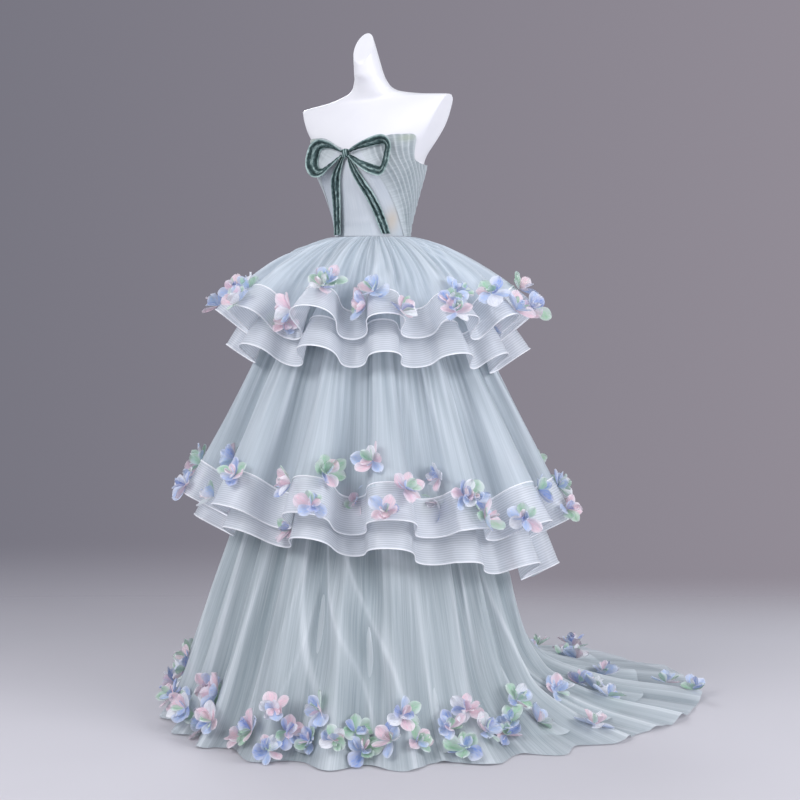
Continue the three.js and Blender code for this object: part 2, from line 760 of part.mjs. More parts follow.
const PETALS = 6; // petals of one flower
const FLOWER_RADIUS = 45;
const FLOWER_NOTCH = 22; // radius between two petals
const NOTCH_SPREAD = 1.4; // how much wider the notches that two flowers share are
const PAIR_SPACING = 54; // between the middles of two flowers on one crest
const FLOWER_HEIGHT = 9;
const TIP_LIFT = 20;
const NOTCH_LIFT = 9;
const FLOWER_GAP = 0.45; // gap between a flower and the cloth it is sewn to

/**
 * Two open flowers grown together, along local +X from the origin. Each has thick petals all
 * round but towards the other flower, where the two share their notches.
 */
function flowerPair() {
  const petalTurn = (2 * Math.PI) / PETALS;
  const outline = [];
  const halfOutline = (centre, start) => {
    for (let k = 1; k < 2 * PETALS - 2; k += 1) {
      const turn = start + (petalTurn * (k + 1)) / 2;
      const isTip = k % 2 === 1;
      const reach = isTip ? FLOWER_RADIUS : FLOWER_NOTCH;
      const lift = isTip ? TIP_LIFT : NOTCH_LIFT;
      const place = new THREE.Vector3(reach * Math.cos(turn), reach * Math.sin(turn), lift);
      outline.push(place.add(new THREE.Vector3(centre, 0, 0)));
    }
  };
  const notchAside = FLOWER_NOTCH * Math.sin(petalTurn / 2) * NOTCH_SPREAD;
  halfOutline(0, 0);
  outline.push(new THREE.Vector3(PAIR_SPACING / 2, -notchAside, NOTCH_LIFT));
  halfOutline(PAIR_SPACING, Math.PI);
  outline.push(new THREE.Vector3(PAIR_SPACING / 2, notchAside, NOTCH_LIFT));
  const middles = (lift) => [0, PAIR_SPACING].map((x) => new THREE.Vector3(x, 0, lift));
  const points = [...middles(0), ...middles(FLOWER_HEIGHT), ...outline];
  const first = 4;
  const half = outline.length / 2;
  const triangles = [];
  for (let k = 0; k < outline.length; k += 1) {
    const [a, b] = [first + k, first + ((k + 1) % outline.length)];
    const isNear = k === outline.length - 1 || k < half - 1;
    const which = isNear ? 0 : 1;
    triangles.push([2 + which, a, b], [which, b, a]);
  }
  const [notchBelow, notchAbove] = [first + half - 1, first + outline.length - 1];
  triangles.push([2, notchBelow, 3], [2, 3, notchAbove], [0, 1, notchBelow], [0, notchAbove, 1]);
  return geometryFrom(points, triangles);
}

/** A pair of flowers sewn to two places of the cloth that lie on one crest. */
function seatedPair(low, high) {
  const along = new THREE.Vector3().subVectors(high.place, low.place).normalize();
  const up = new THREE.Vector3().addVectors(low.normal, high.normal);
  up.addScaledVector(along, -up.dot(along)).normalize();
  const across = new THREE.Vector3().crossVectors(up, along);
  const pair = flowerPair();
  pair.applyMatrix4(new THREE.Matrix4().makeBasis(along, across, up));
  const seat = low.place.clone().addScaledVector(up, FLOWER_GAP);
  pair.translate(seat.x, seat.y, seat.z);
  return pair;
}

/** The columns where a row of a ring stands out furthest: one for each wave. */
function crestColumns(row, halfWave) {
  const columns = row.length;
  const reach = Math.max(Math.round((halfWave / 360) * columns), 1);
  const distance = row.map((point) => Math.hypot(point.x, point.y) + point.z);
  return row.map((_, j) => j).filter((j) => {
    for (let step = 1; step <= reach; step += 1) {
      const [before, after] = [(j + columns - step) % columns, (j + step) % columns];
      if (distance[before] > distance[j] || distance[after] >= distance[j]) return false;
    }
    return true;
  });
}

/** A place on the cloth between two rows of a column, with the cloth's normal there. */
function seatOn(grid, row, column, share) {
  const place = grid.points[row][column].clone().lerp(grid.points[row + 1][column], share);
  const normal = grid.normals[row][column].clone();
  normal.lerp(grid.normals[row + 1][column], share).normalize();
  return { place, normal };
}

// ---------------------------------------------------------------- putting it together

const group = new THREE.Group();

const material = (color, roughness) =>
  new THREE.MeshStandardMaterial({ color, roughness, metalness: 0 });
const FORM_PLASTIC = material(0xf1f1f4, 0.45);
const STAND_METAL = material(0xdedee2, 0.35);
const TULLE = material(0xb9cbd2, 0.85);
const BRAID = material(0xd9dfe6, 0.6);
const LINING = material(0xc9d3d6, 0.8);
const PLEATED_TULLE = material(0xa9bcb9, 0.8);
const VELVET = material(0x5d7f7a, 0.9);
const ORGANZA = material(0xc7cfe6, 0.7);

function addMesh(name, geometry, finish) {
  const mesh = new THREE.Mesh(geometry, finish);
  mesh.name = name;
  group.add(mesh);
}

addMesh('form_torso', formTorso(), FORM_PLASTIC);
addMesh('form_pole', formPole(), STAND_METAL);
addMesh('form_base', formBase(), STAND_METAL);

const sidePanel = bodiceSide();
const backPanel = bodiceBack();
addMesh('bodice_front', bodiceFront(), TULLE);
addMesh('bodice_side_left', sidePanel, PLEATED_TULLE);
addMesh('bodice_side_right', mirrored(sidePanel), PLEATED_TULLE);
addMesh('bodice_back_left', backPanel, TULLE);
addMesh('bodice_back_right', mirrored(backPanel), TULLE);
addMesh('back_zip', backZip(), PLEATED_TULLE);

addMesh('bow_knot', bowKnot(), VELVET);
addMesh('bow_loop_left', bowLoop(LEFT_LOOP, 1), VELVET);
addMesh('bow_loop_right', bowLoop(RIGHT_LOOP, -1), VELVET);
addMesh('bow_tail_left', bowTail(LEFT_TAIL), VELVET);
addMesh('bow_tail_right', bowTail(RIGHT_TAIL), VELVET);

const braidGrids = {};
for (const [name, layer] of Object.entries(TIER_LAYERS)) {
  addMesh(name, tierWall(tierGrid(name, layer.rows)), TULLE);
  braidGrids[name] = tierGrid(name, [layer.braid + braidGapShare, 1]);
  addMesh(`${name}_braid`, tierWall(braidGrids[name]), BRAID);
}

const skirt = skirtGrid('tier3_skirt', SKIRT_COLUMNS, SKIRT_SECTIONS, skirtPoint);
const underskirt = skirtGrid(
  'underskirt',
  UNDERSKIRT_COLUMNS,
  UNDERSKIRT_SECTIONS,
  underskirtPoint,
);
addMesh('tier3_skirt', skirtWall(skirt), TULLE);
addMesh('underskirt', skirtWall(underskirt), LINING);

// Flowers in pairs, one over the other on the crest of a wave or fold. low is the share of the
// way between two rows of the cloth at which the lower flower is sewn, and crests picks the
// crests, counted from the wearer's left.
const FLOWER_RINGS = [
  {
    name: 'tier1',
    grid: braidGrids.tier1_outer,
    row: 0,
    halfWave: 10,
    low: 0.88,
    crests: [0, 1, 3, 5, 7, 8, 9, 10, 11, 12],
  },
  {
    name: 'tier2',
    grid: braidGrids.tier2_outer,
    row: 0,
    halfWave: 9,
    low: 0.88,
    crests: [0, 1, 3, 5, 7, 8, 9, 10, 11, 12, 13],
  },
  {
    name: 'tier3',
    grid: skirt,
    row: 4,
    halfWave: 6,
    low: 0.78,
    crests: [8, 10, 11, 12, 13, 14, 15, 16, 17, 18, 19],
  },
  {
    name: 'train',
    grid: skirt,
    row: 5,
    halfWave: 6,
    low: 0.9,
    crests: [1, 3, 4, 5],
  },
];

for (const { name, grid, row, halfWave, low, crests } of FLOWER_RINGS) {
  const columns = crestColumns(grid.points[row], halfWave);
  crests.forEach((crest, k) => {
    const column = columns[crest];
    const rowLength = grid.points[row][column].distanceTo(grid.points[row + 1][column]);
    const lower = seatOn(grid, row, column, low);
    const upper = seatOn(grid, row, column, low - PAIR_SPACING / rowLength);
    addMesh(`flowers_${name}_${k + 1}`, seatedPair(lower, upper), ORGANZA);
  });
}

export default group;
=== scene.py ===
"""Evening dress on a limbless dress form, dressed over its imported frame.

The dress has a pleated bodice with a velvet ribbon bow, two stiff flounces of two layers each,
edged with horsehair braid, a long gathered skirt with a short train, and organza flowers.

Sizes are in millimetres in the object's own frame: +Z is up, the front faces -Y and the
wearer's left is +X. Angles around the pole are in degrees from +X, counter-clockwise from
above. Meshes are turned to metres where they are made.
"""

import logging
import math
from dataclasses import dataclass
from enum import Enum
from typing import Optional, Sequence, Union

import bpy
import numpy as np
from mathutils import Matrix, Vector


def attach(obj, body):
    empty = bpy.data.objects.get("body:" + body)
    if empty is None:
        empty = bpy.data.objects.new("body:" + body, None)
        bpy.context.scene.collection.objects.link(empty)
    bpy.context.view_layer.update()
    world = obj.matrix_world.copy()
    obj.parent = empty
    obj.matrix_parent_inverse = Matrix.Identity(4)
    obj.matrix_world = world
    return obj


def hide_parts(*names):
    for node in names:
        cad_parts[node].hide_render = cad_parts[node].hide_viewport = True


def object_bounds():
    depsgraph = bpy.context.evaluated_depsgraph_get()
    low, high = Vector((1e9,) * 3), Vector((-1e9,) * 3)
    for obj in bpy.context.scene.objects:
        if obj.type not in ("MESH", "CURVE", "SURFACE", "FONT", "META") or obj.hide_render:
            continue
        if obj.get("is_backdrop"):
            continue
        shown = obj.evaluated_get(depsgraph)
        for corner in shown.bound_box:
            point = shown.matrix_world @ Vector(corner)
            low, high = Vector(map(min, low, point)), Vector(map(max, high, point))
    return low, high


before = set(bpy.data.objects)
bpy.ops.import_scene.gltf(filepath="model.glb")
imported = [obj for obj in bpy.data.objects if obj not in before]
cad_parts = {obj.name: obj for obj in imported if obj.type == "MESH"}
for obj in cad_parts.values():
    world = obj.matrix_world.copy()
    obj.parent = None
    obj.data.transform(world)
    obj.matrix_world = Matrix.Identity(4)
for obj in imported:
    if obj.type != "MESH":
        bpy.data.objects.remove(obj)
CAD_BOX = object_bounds()

LOG = logging.getLogger("evening_dress")
Array = np.ndarray
Number = Union[float, Array]
Tree = bpy.types.NodeTree
Socket = bpy.types.NodeSocket

BODY = "root"
MM = 0.001  # a millimetre in metres
CLOTH = 2.0  # thickness of the solids' cloth
SEAM_GAP = 0.35  # between solids that are sewn together
SEAT_GAP = 0.6  # between cloth and what it lies on
WAIST_HEIGHT = 1095.0
FRONT = 270.0
BACK = 90.0
TRAIN_DIRECTION = 43.0
SPREAD_DIRECTION = 288.0  # where the hem is spread further on the floor


class Slot(Enum):
    """Material slots."""

    FORM = "form_plastic"
    STAND = "stand_metal"
    TULLE = "tulle"
    BRAID = "horsehair_braid"
    LINING = "lining"
    BODICE = "bodice_tulle"
    PLEATED = "pleated_tulle"
    VELVET = "velvet"
    ORGANZA = "organza"


# ---- numbers and tables


def sin_deg(angle: Number) -> Number:
    """Sine of an angle in degrees."""
    return np.sin(np.radians(angle))


def cos_deg(angle: Number) -> Number:
    """Cosine of an angle in degrees."""
    return np.cos(np.radians(angle))


def mix(start: Number, end: Number, share: Number) -> Number:
    """Value a share of the way from start to end."""
    return start + (end - start) * share


def soft_step(value: Number, low: float = 0.0, high: float = 1.0) -> Number:
    """0 below low, 1 above high, and a smooth rise between."""
    share = np.clip((value - low) / (high - low), 0.0, 1.0)
    return share * share * (3.0 - 2.0 * share)


def towards(angle: Number, direction: float, sharpness: float) -> Number:
    """1 in a direction and 0 opposite it, with a smooth fall between."""
    return ((1.0 + cos_deg(angle - direction)) / 2.0) ** sharpness


class Table:
    """Rows of named columns, read smoothly between the rows."""

    def __init__(self, names: str, rows: Sequence[Sequence[float]]) -> None:
        """Keeps the rows by column.

        Args:
            names: The columns' names, apart by spaces. The first one is the key.
            rows: The values, a row for each section.
        """
        self.names = names.split()
        self.columns = dict(zip(self.names, np.array(rows, float).T))

    def smooth(self, name: str, at: Number) -> Array:
        """Cubic Hermite value of a column.

        Args:
            name: The column.
            at: Places along the key column.

        Returns:
            The column's value at each place.
        """
        key, values = self.columns[self.names[0]], self.columns[name]
        if key[-1] < key[0]:
            key, values = key[::-1], values[::-1]
        last = len(key) - 1
        here = np.arange(last + 1)
        after, before = np.minimum(here + 1, last), np.maximum(here - 1, 0)
        slopes = (values[after] - values[before]) / (key[after] - key[before])
        place = np.asarray(at, float)
        i = np.clip(np.searchsorted(key, place, side="right") - 1, 0, last - 1)
        span = key[i + 1] - key[i]
        t = np.clip((place - key[i]) / span, 0.0, 1.0)
        start = (1 + 2 * t) * (1 - t) ** 2 * values[i] + t * (1 - t) ** 2 * span * slopes[i]
        return start + t**2 * (3 - 2 * t) * values[i + 1] + t**2 * (t - 1) * span * slopes[i + 1]

    def straight(self, name: str, at: Number) -> Array:
        """Value of a column on the straight lines between its rows."""
        return np.interp(at, self.columns[self.names[0]], self.columns[name])


def cloth_noise(around: Number, down: Number, cells: tuple[int, int], seed: int) -> Array:
    """Smooth uneven values from -1 to 1 over a cloth, the same after a whole turn around.

    Args:
        around: Share of the way around.
        down: Share of the way down.
        cells: How many bumps fit around and down.
        seed: Which pattern.

    Returns:
        One value for each place.
    """
    across, along = cells
    values = np.random.default_rng(seed).uniform(-1.0, 1.0, (along + 2, across))
    x = np.mod(around, 1.0) * across
    y = np.clip(down, 0.0, 1.0) * along
    i, j = np.floor(y).astype(int), np.floor(x).astype(int)
    fy, fx = soft_step(y - i), soft_step(x - j)
    left, right = j % across, (j + 1) % across
    upper = mix(values[i, left], values[i, right], fx)
    lower = mix(values[i + 1, left], values[i + 1, right], fx)
    return mix(upper, lower, fy)


def creases(around: Number, down: Number, count: int, wander: float, seed: int) -> Array:
    """Soft folds that run down a cloth, uneven in spacing, with narrow ridges.

    Args:
        around: Share of the way around.
        down: Share of the way down.
        count: How many folds there are around.
        wander: How far a fold strays, as a share of its width.
        seed: Which pattern.

    Returns:
        From -1 in a trough to 1 on a ridge.
    """
    strays = wander * cloth_noise(around, down, (max(count // 3, 2), 2), seed)
    phase = math.pi * (count * around + strays)
    return 1.0 - 2.0 * np.abs(np.sin(phase)) ** 1.25


def grid_normals(points: Array, ring: bool) -> Array:
    """Outward normals of points whose rows run down and whose columns run around.

    Args:
        points: Rows by columns by three.
        ring: Whether the last column joins the first.

    Returns:
        A unit vector for each point.
    """
    down = np.gradient(points, axis=0)
    if ring:
        around = np.roll(points, -1, axis=1) - np.roll(points, 1, axis=1)
    else:
        around = np.gradient(points, axis=1)
    normals = np.cross(down, around)
    return normals / np.maximum(np.linalg.norm(normals, axis=-1, keepdims=True), 1e-9)


def unit(vector: Array) -> Array:
    """The same direction at length one."""
    return vector / np.maximum(np.linalg.norm(vector, axis=-1, keepdims=True), 1e-9)


def around_pole(turn: Number, wide: Number, deep: Number, height: Number) -> Array:
    """Points around the pole, by angle, from their half width, half depth and height."""
    rows = np.broadcast_arrays(wide * cos_deg(turn), deep * sin_deg(turn), height)
    return np.stack(rows, axis=-1)


def turned(first: Array, second: Array, angle: float) -> tuple[Array, Array]:
    """Two coordinates after a turn in their plane, by degrees."""
    cosine, sine = cos_deg(angle), sin_deg(angle)
    return first * cosine - second * sine, first * sine + second * cosine


def full_turn(columns: int, start: float = 0.0) -> Array:
    """Even angles all the way around, in degrees."""
    return start + np.linspace(0.0, 360.0, columns, endpoint=False)


# ---- meshes


@dataclass
class Patch:
    """A grid of points that becomes quads, or a stack of such grids.

    Attributes:
        points: Rows by columns by three, in millimetres, or a stack of them.
        ring: Whether the last column joins the first.
        paint: Values for each point by name, one number or a colour of four.
        caps: Whether each end row is closed by one face.
    """

    points: Array
    ring: bool = False
    paint: Optional[dict[str, Array]] = None
    caps: bool = False

    def stack(self) -> Array:
        """The points with the stack's dimension in front."""
        return self.points if self.points.ndim == 4 else self.points[None]

    def cut(self) -> tuple[float, float, float]:
        """Width, length and area of the cloth, in metres."""
        points = self.stack()[0] * MM
        closed = np.concatenate([points, points[:, :1]], axis=1) if self.ring else points
        rows = np.linalg.norm(np.diff(closed, axis=1), axis=-1).sum(axis=1)
        columns = np.linalg.norm(np.diff(points, axis=0), axis=-1).sum(axis=0)
        a, b, c, d = closed[:-1, :-1], closed[:-1, 1:], closed[1:, 1:], closed[1:, :-1]
        area = 0.5 * np.linalg.norm(np.cross(c - a, d - b), axis=-1).sum()
        return float(rows.max()), float(columns.mean()), float(area)


def piece(name: str, patches: Sequence[Patch], finish: "Finish") -> bpy.types.Object:
    """Makes one mesh of some patches and dresses it.

    Args:
        name: The object's name.
        patches: What it is made of. All have the same painted names.
        finish: Its material.

    Returns:
        The object, in the scene, with smooth faces and a UV map in metres of cloth.
    """
    places, faces, uvs, paints = [], [], [], {}
    offset = 0
    for patch in patches:
        stack = patch.stack()
        count, rows, columns, _ = stack.shape
        index = np.arange(count * rows * columns).reshape(count, rows, columns) + offset
        if patch.ring:
            index = np.concatenate([index, index[:, :, :1]], axis=2)
        quads = np.stack(
            [index[:, :-1, :-1], index[:, 1:, :-1], index[:, 1:, 1:], index[:, :-1, 1:]], axis=-1
        ).reshape(-1, 4)
        faces += quads.tolist()
        width, length, _ = patch.cut()
        u = np.linspace(0.0, width, index.shape[2])
        v = np.linspace(0.0, length, rows)
        corners_u = np.stack([u[:-1], u[:-1], u[1:], u[1:]], axis=-1)
        corners_v = np.stack([v[:-1], v[1:], v[1:], v[:-1]], axis=-1)
        shape = (count, rows - 1, index.shape[2] - 1, 4)
        uv = np.stack(
            [
                np.broadcast_to(corners_u[None, None], shape),
                np.broadcast_to(corners_v[None, :, None], shape),
            ],
            axis=-1,
        )
        uvs.append(uv.reshape(-1, 2))
        if patch.caps:
            ends = [index[0, 0, :columns].tolist(), index[0, -1, :columns][::-1].tolist()]
            faces += ends
            uvs.append(np.zeros((2 * columns, 2)))
        for key, values in (patch.paint or {}).items():
            single = values.ndim <= 3 and values.shape[:2] == (rows, columns)
            full = values[None] if single else values
            paints.setdefault(key, []).append(full.reshape(count * rows * columns, -1))
        places.append(stack.reshape(-1, 3) * MM)
        offset += count * rows * columns
    mesh = bpy.data.meshes.new(name)
    mesh.from_pydata(np.concatenate(places).tolist(), [], faces)
    mesh.uv_layers.new(name="cloth").data.foreach_set("uv", np.concatenate(uvs).ravel())
    for key, parts in paints.items():
        values = np.concatenate(parts)
        kind, field = ("FLOAT_COLOR", "color") if values.shape[1] == 4 else ("FLOAT", "value")
        mesh.attributes.new(key, kind, "POINT").data.foreach_set(field, values.ravel())
    mesh.shade_smooth()
    mesh.update()
    obj = bpy.data.objects.new(name, mesh)
    bpy.context.scene.collection.objects.link(obj)
    mesh.materials.append(finish.material())
    return obj


def wear(obj: bpy.types.Object, slot: Slot, nodes: Sequence[str] = ()) -> bpy.types.Object:
    """Puts a piece on the dress and hides the solids that it stands for."""
    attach(obj, BODY)
    if nodes:
        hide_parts(*nodes)
    triangles = sum(len(face.vertices) - 2 for face in obj.data.polygons)
    LOG.info("%s: %d triangles", obj.name, triangles)
    return obj


def cloth(
    obj: bpy.types.Object,
    patch: Patch,
) -> None:
    """Works out the size of the sheet that a piece is cut from, and keeps nothing.

    Args:
        obj: The piece. It is not used.
        patch: The cloth without its finest creases.
    """
    width, length, area = patch.cut()
    min(area, width * length)


def edge_cord(line: Array, normals: Array, inward: Array, wide: float, thick: float) -> Patch:
    """A flat rounded edging around a closed line.

    Args:
        line: Points of the edge.
        normals: The cloth's normals there.
        inward: Unit vectors along the cloth, away from its edge.
        wide: The edging's width.
        thick: Its thickness.

    Returns:
        The edging as a ring of small sections.
    """
    turns = np.linspace(0.0, 2.0 * math.pi, 8, endpoint=False)
    rows = [
        line + inward * (0.5 * wide * math.cos(turn)) + normals * (0.5 * thick * math.sin(turn))
        for turn in turns[::-1]
    ]
    points = np.stack(rows + rows[:1])
    return Patch(points, ring=True)


# ---- finishes


def tint(code: str) -> tuple[float, float, float, float]:
    """Linear colour of an sRGB hex value such as #a0b0c0."""
    parts = [int(code[i : i + 2], 16) / 255.0 for i in (1, 3, 5)]
    linear = [p / 12.92 if p <= 0.04045 else ((p + 0.055) / 1.055) ** 2.4 for p in parts]
    return (linear[0], linear[1], linear[2], 1.0)


def add_node(
    tree: Tree,
    kind: str,
    inputs: Optional[dict[Union[str, int], object]] = None,
    **settings: object,
) -> bpy.types.Node:
    """Adds a node, sets it and fills or links its inputs.

    Args:
        tree: The material's nodes.
        kind: Blender's name for the node's type, without ShaderNode in front.
        inputs: A value or an output to link for each input, by name or number.
        **settings: The node's own settings.

    Returns:
        The node.
    """
    node = tree.nodes.new("ShaderNode" + kind)
    for key, value in settings.items():
        setattr(node, key, value)
    for key, value in (inputs or {}).items():
        if isinstance(value, Socket):
            tree.links.new(value, node.inputs[key])
        else:
            node.inputs[key].default_value = value
    return node


# A mix node's two colour inputs and its colour output, by number.
MIX_A, MIX_B, MIX_COLOUR = 6, 7, 2


@dataclass(frozen=True)
class Finish:
    """A material made of nodes.

    Attributes:
        name: What the real stuff is.
    """

    name: str

    def material(self) -> bpy.types.Material:
        """The material, made the first time it is asked for."""
        made = bpy.data.materials.get(self.name)
        if made is None:
            made = bpy.data.materials.new(self.name)
            made.use_nodes = True
            tree = made.node_tree
            tree.nodes.clear()
            shader = add_node(tree, "BsdfPrincipled", self.surface(tree)).outputs[0]
            add_node(tree, "OutputMaterial", {"Surface": shader})
        return made

    def surface(self, tree: Tree) -> dict[str, object]:
        """Adds this finish's nodes and returns the shader's inputs."""
        raise NotImplementedError


def threads(tree: Tree, across: float, along: float, detail: float) -> Socket:
    """Noise stretched along the cloth.

    Args:
        tree: The material's nodes.
        across: Width of a streak in millimetres.
        along: Its length in millimetres.
        detail: How many finer octaves it has.

    Returns:
        The noise's value.
    """
    uv = add_node(tree, "UVMap", uv_map="cloth")
    scale = (1.0 / (across * MM), 1.0 / (along * MM), 1.0)
    place = add_node(tree, "Mapping", {"Vector": uv.outputs[0], "Scale": scale})
    noise = add_node(
        tree, "TexNoise", {"Vector": place.outputs[0], "Scale": 1.0, "Detail": detail}
    )
    return noise.outputs[0]


@dataclass(frozen=True)
class Tulle(Finish):
    """Nylon tulle, a net of 1 mm holes, heat-set and gathered.

    The holes are far too fine to show, so the eye sees a soft veil that is denser where folds lie
    over each other, with fine lengthwise streaks where the net is drawn together. Its colour also
    carries painted light from the painted "fold" value: painted highlights on the ridges and wave
    crests, painted shade in the troughs.

    Attributes:
        light: Colour on the ridges and crests, a painted highlight.
        shade: Colour in the troughs, painted shade.
        thin: Cover of the thinnest places.
        dense: Cover of the densest places.
    """

    name: str = "nylon_tulle"
    light: str = "#e8eef3"
    shade: str = "#98a9b0"
    thin: float = 0.5
    dense: float = 0.92

    def surface(self, tree: Tree) -> dict[str, object]:
        """Adds this finish's nodes and returns the shader's inputs."""
        fine = threads(tree, 3.5, 190.0, 4.0)
        broad = threads(tree, 22.0, 700.0, 2.0)
        # The painted fold value is painted light: high on ridges and crests as painted highlight,
        # low in troughs as painted shade. It sets both colour and cover.
        fold = add_node(tree, "Attribute", attribute_name="fold").outputs["Fac"]
        both = add_node(tree, "Math", {0: fine, 1: broad}, operation="ADD").outputs[0]
        streak = add_node(
            tree, "MapRange", {"Value": both, "From Min": 0.72, "From Max": 1.28}
        ).outputs[0]
        half = add_node(tree, "Math", {0: streak, 1: 0.26}, operation="MULTIPLY").outputs[0]
        tone = add_node(
            tree, "Math", {0: fold, 1: 0.74, 2: half}, operation="MULTIPLY_ADD", use_clamp=True
        ).outputs[0]
        colour = add_node(
            tree,
            "Mix",
            {0: tone, MIX_A: tint(self.shade), MIX_B: tint(self.light)},
            data_type="RGBA",
        ).outputs[MIX_COLOUR]
        cover = add_node(
            tree, "MapRange", {"Value": tone, "To Min": self.thin, "To Max": self.dense}
        ).outputs[0]
        bump = add_node(
            tree, "Bump", {"Strength": 0.35, "Distance": 0.0012, "Height": fine}
        ).outputs[0]
        return {
            "Base Color": colour,
            "Roughness": 0.78,
            "IOR": 1.53,
            "Specular IOR Level": 0.2,
            "Sheen Weight": 0.35,
            "Sheen Roughness": 0.45,
            "Sheen Tint": tint("#f2f6fa"),
            "Alpha": cover,
            "Normal": bump,
        }


@dataclass(frozen=True)
class HorsehairBraid(Finish):
    """Horsehair braid: stiff clear polyester threads plaited on the bias.

    It looks like a milky, slightly glossy strip with fine lines along its length. The threads
    lie 1 mm apart and are drawn 5 mm apart, because finer ones don't show.

    Attributes:
        light: Colour of the threads that catch the light.
        shade: Colour between them.
        thin: Cover between the threads.
        dense: Cover along them.
    """

    name: str = "horsehair_braid_polyester"
    light: str = "#e3e8f0"
    shade: str = "#d7dde6"
    thin: float = 0.6
    dense: float = 0.72

    def surface(self, tree: Tree) -> dict[str, object]:
        """Adds this finish's nodes and returns the shader's inputs."""
        thread_spacing = 5.0
        bands = 0.314 / (thread_spacing * MM)  # a wave's bands lie 0.314 apart at scale 1
        uv = add_node(tree, "UVMap", uv_map="cloth").outputs[0]
        lines = add_node(
            tree,
            "TexWave",
            {"Vector": uv, "Scale": bands, "Distortion": 0.6, "Detail": 1.0},
            bands_direction="Y",
        ).outputs["Fac"]
        patchy = threads(tree, 60.0, 30.0, 3.0)
        both = add_node(tree, "Math", {0: lines, 1: patchy}, operation="ADD").outputs[0]
        tone = add_node(
            tree, "MapRange", {"Value": both, "From Min": 0.4, "From Max": 1.5}
        ).outputs[0]
        colour = add_node(
            tree,
            "Mix",
            {0: tone, MIX_A: tint(self.shade), MIX_B: tint(self.light)},
            data_type="RGBA",
        ).outputs[MIX_COLOUR]
        cover = add_node(
            tree, "MapRange", {"Value": tone, "To Min": self.thin, "To Max": self.dense}
        ).outputs[0]
        bump = add_node(
            tree, "Bump", {"Strength": 0.12, "Distance": 0.0006, "Height": lines}
        ).outputs[0]
        return {
            "Base Color": colour,
            "Roughness": 0.42,
            "IOR": 1.57,
            "Specular IOR Level": 0.4,
            "Sheen Weight": 0.2,
            "Alpha": cover,
            "Normal": bump,
        }


@dataclass(frozen=True)
class WovenCloth(Finish):
    """A closely woven or knitted cloth with soft streaks, used where nothing shows through.

    Attributes:
        light: Colour of its high places and light streaks; where the painted value is high, a
            painted highlight.
        shade: Colour of its low places and dark streaks; where the painted value is low, painted
            shade.
        streak: Width and length of its streaks in millimetres.
        roughness: Roughness of the fibre.
        sheen: How strong its nap is.
        attribute: Painted value of painted light, which darkens the low places as painted shade
            and lightens the high ones as painted highlight.
        blush: Colour of the lining that glows through where "blush" is painted.
    """

    name: str = "polyester_lining"
    light: str = "#c4d0d5"
    shade: str = "#9fb1b5"
    streak: tuple[float, float] = (5.0, 160.0)
    roughness: float = 0.6
    sheen: float = 0.2
    attribute: str = "fold"
    blush: str = "#c9bba9"

    def surface(self, tree: Tree) -> dict[str, object]:
        """Adds this finish's nodes and returns the shader's inputs."""
        fine = threads(tree, self.streak[0], self.streak[1], 4.0)
        weave = threads(tree, 1.2, 1.2, 2.0)
        # The painted value is painted light: painted shade in the low places and painted
        # highlight on the high ones.
        fold = add_node(tree, "Attribute", attribute_name=self.attribute).outputs["Fac"]
        half = add_node(tree, "Math", {0: fine, 1: 0.6}, operation="MULTIPLY").outputs[0]
        tone = add_node(
            tree, "Math", {0: fold, 1: 0.55, 2: half}, operation="MULTIPLY_ADD", use_clamp=True
        ).outputs[0]
        plain = add_node(
            tree,
            "Mix",
            {0: tone, MIX_A: tint(self.shade), MIX_B: tint(self.light)},
            data_type="RGBA",
        ).outputs[MIX_COLOUR]
        glow = add_node(tree, "Attribute", attribute_name="blush").outputs["Fac"]
        colour = add_node(
            tree, "Mix", {0: glow, MIX_A: plain, MIX_B: tint(self.blush)}, data_type="RGBA"
        ).outputs[MIX_COLOUR]
        height = add_node(tree, "Math", {0: fine, 1: weave}, operation="ADD").outputs[0]
        bump = add_node(
            tree, "Bump", {"Strength": 0.25, "Distance": 0.0006, "Height": height}
        ).outputs[0]
        return {
            "Base Color": colour,
            "Roughness": self.roughness,
            "IOR": 1.5,
            "Specular IOR Level": 0.25,
            "Sheen Weight": self.sheen,
            "Sheen Roughness": 0.4,
            "Normal": bump,
        }


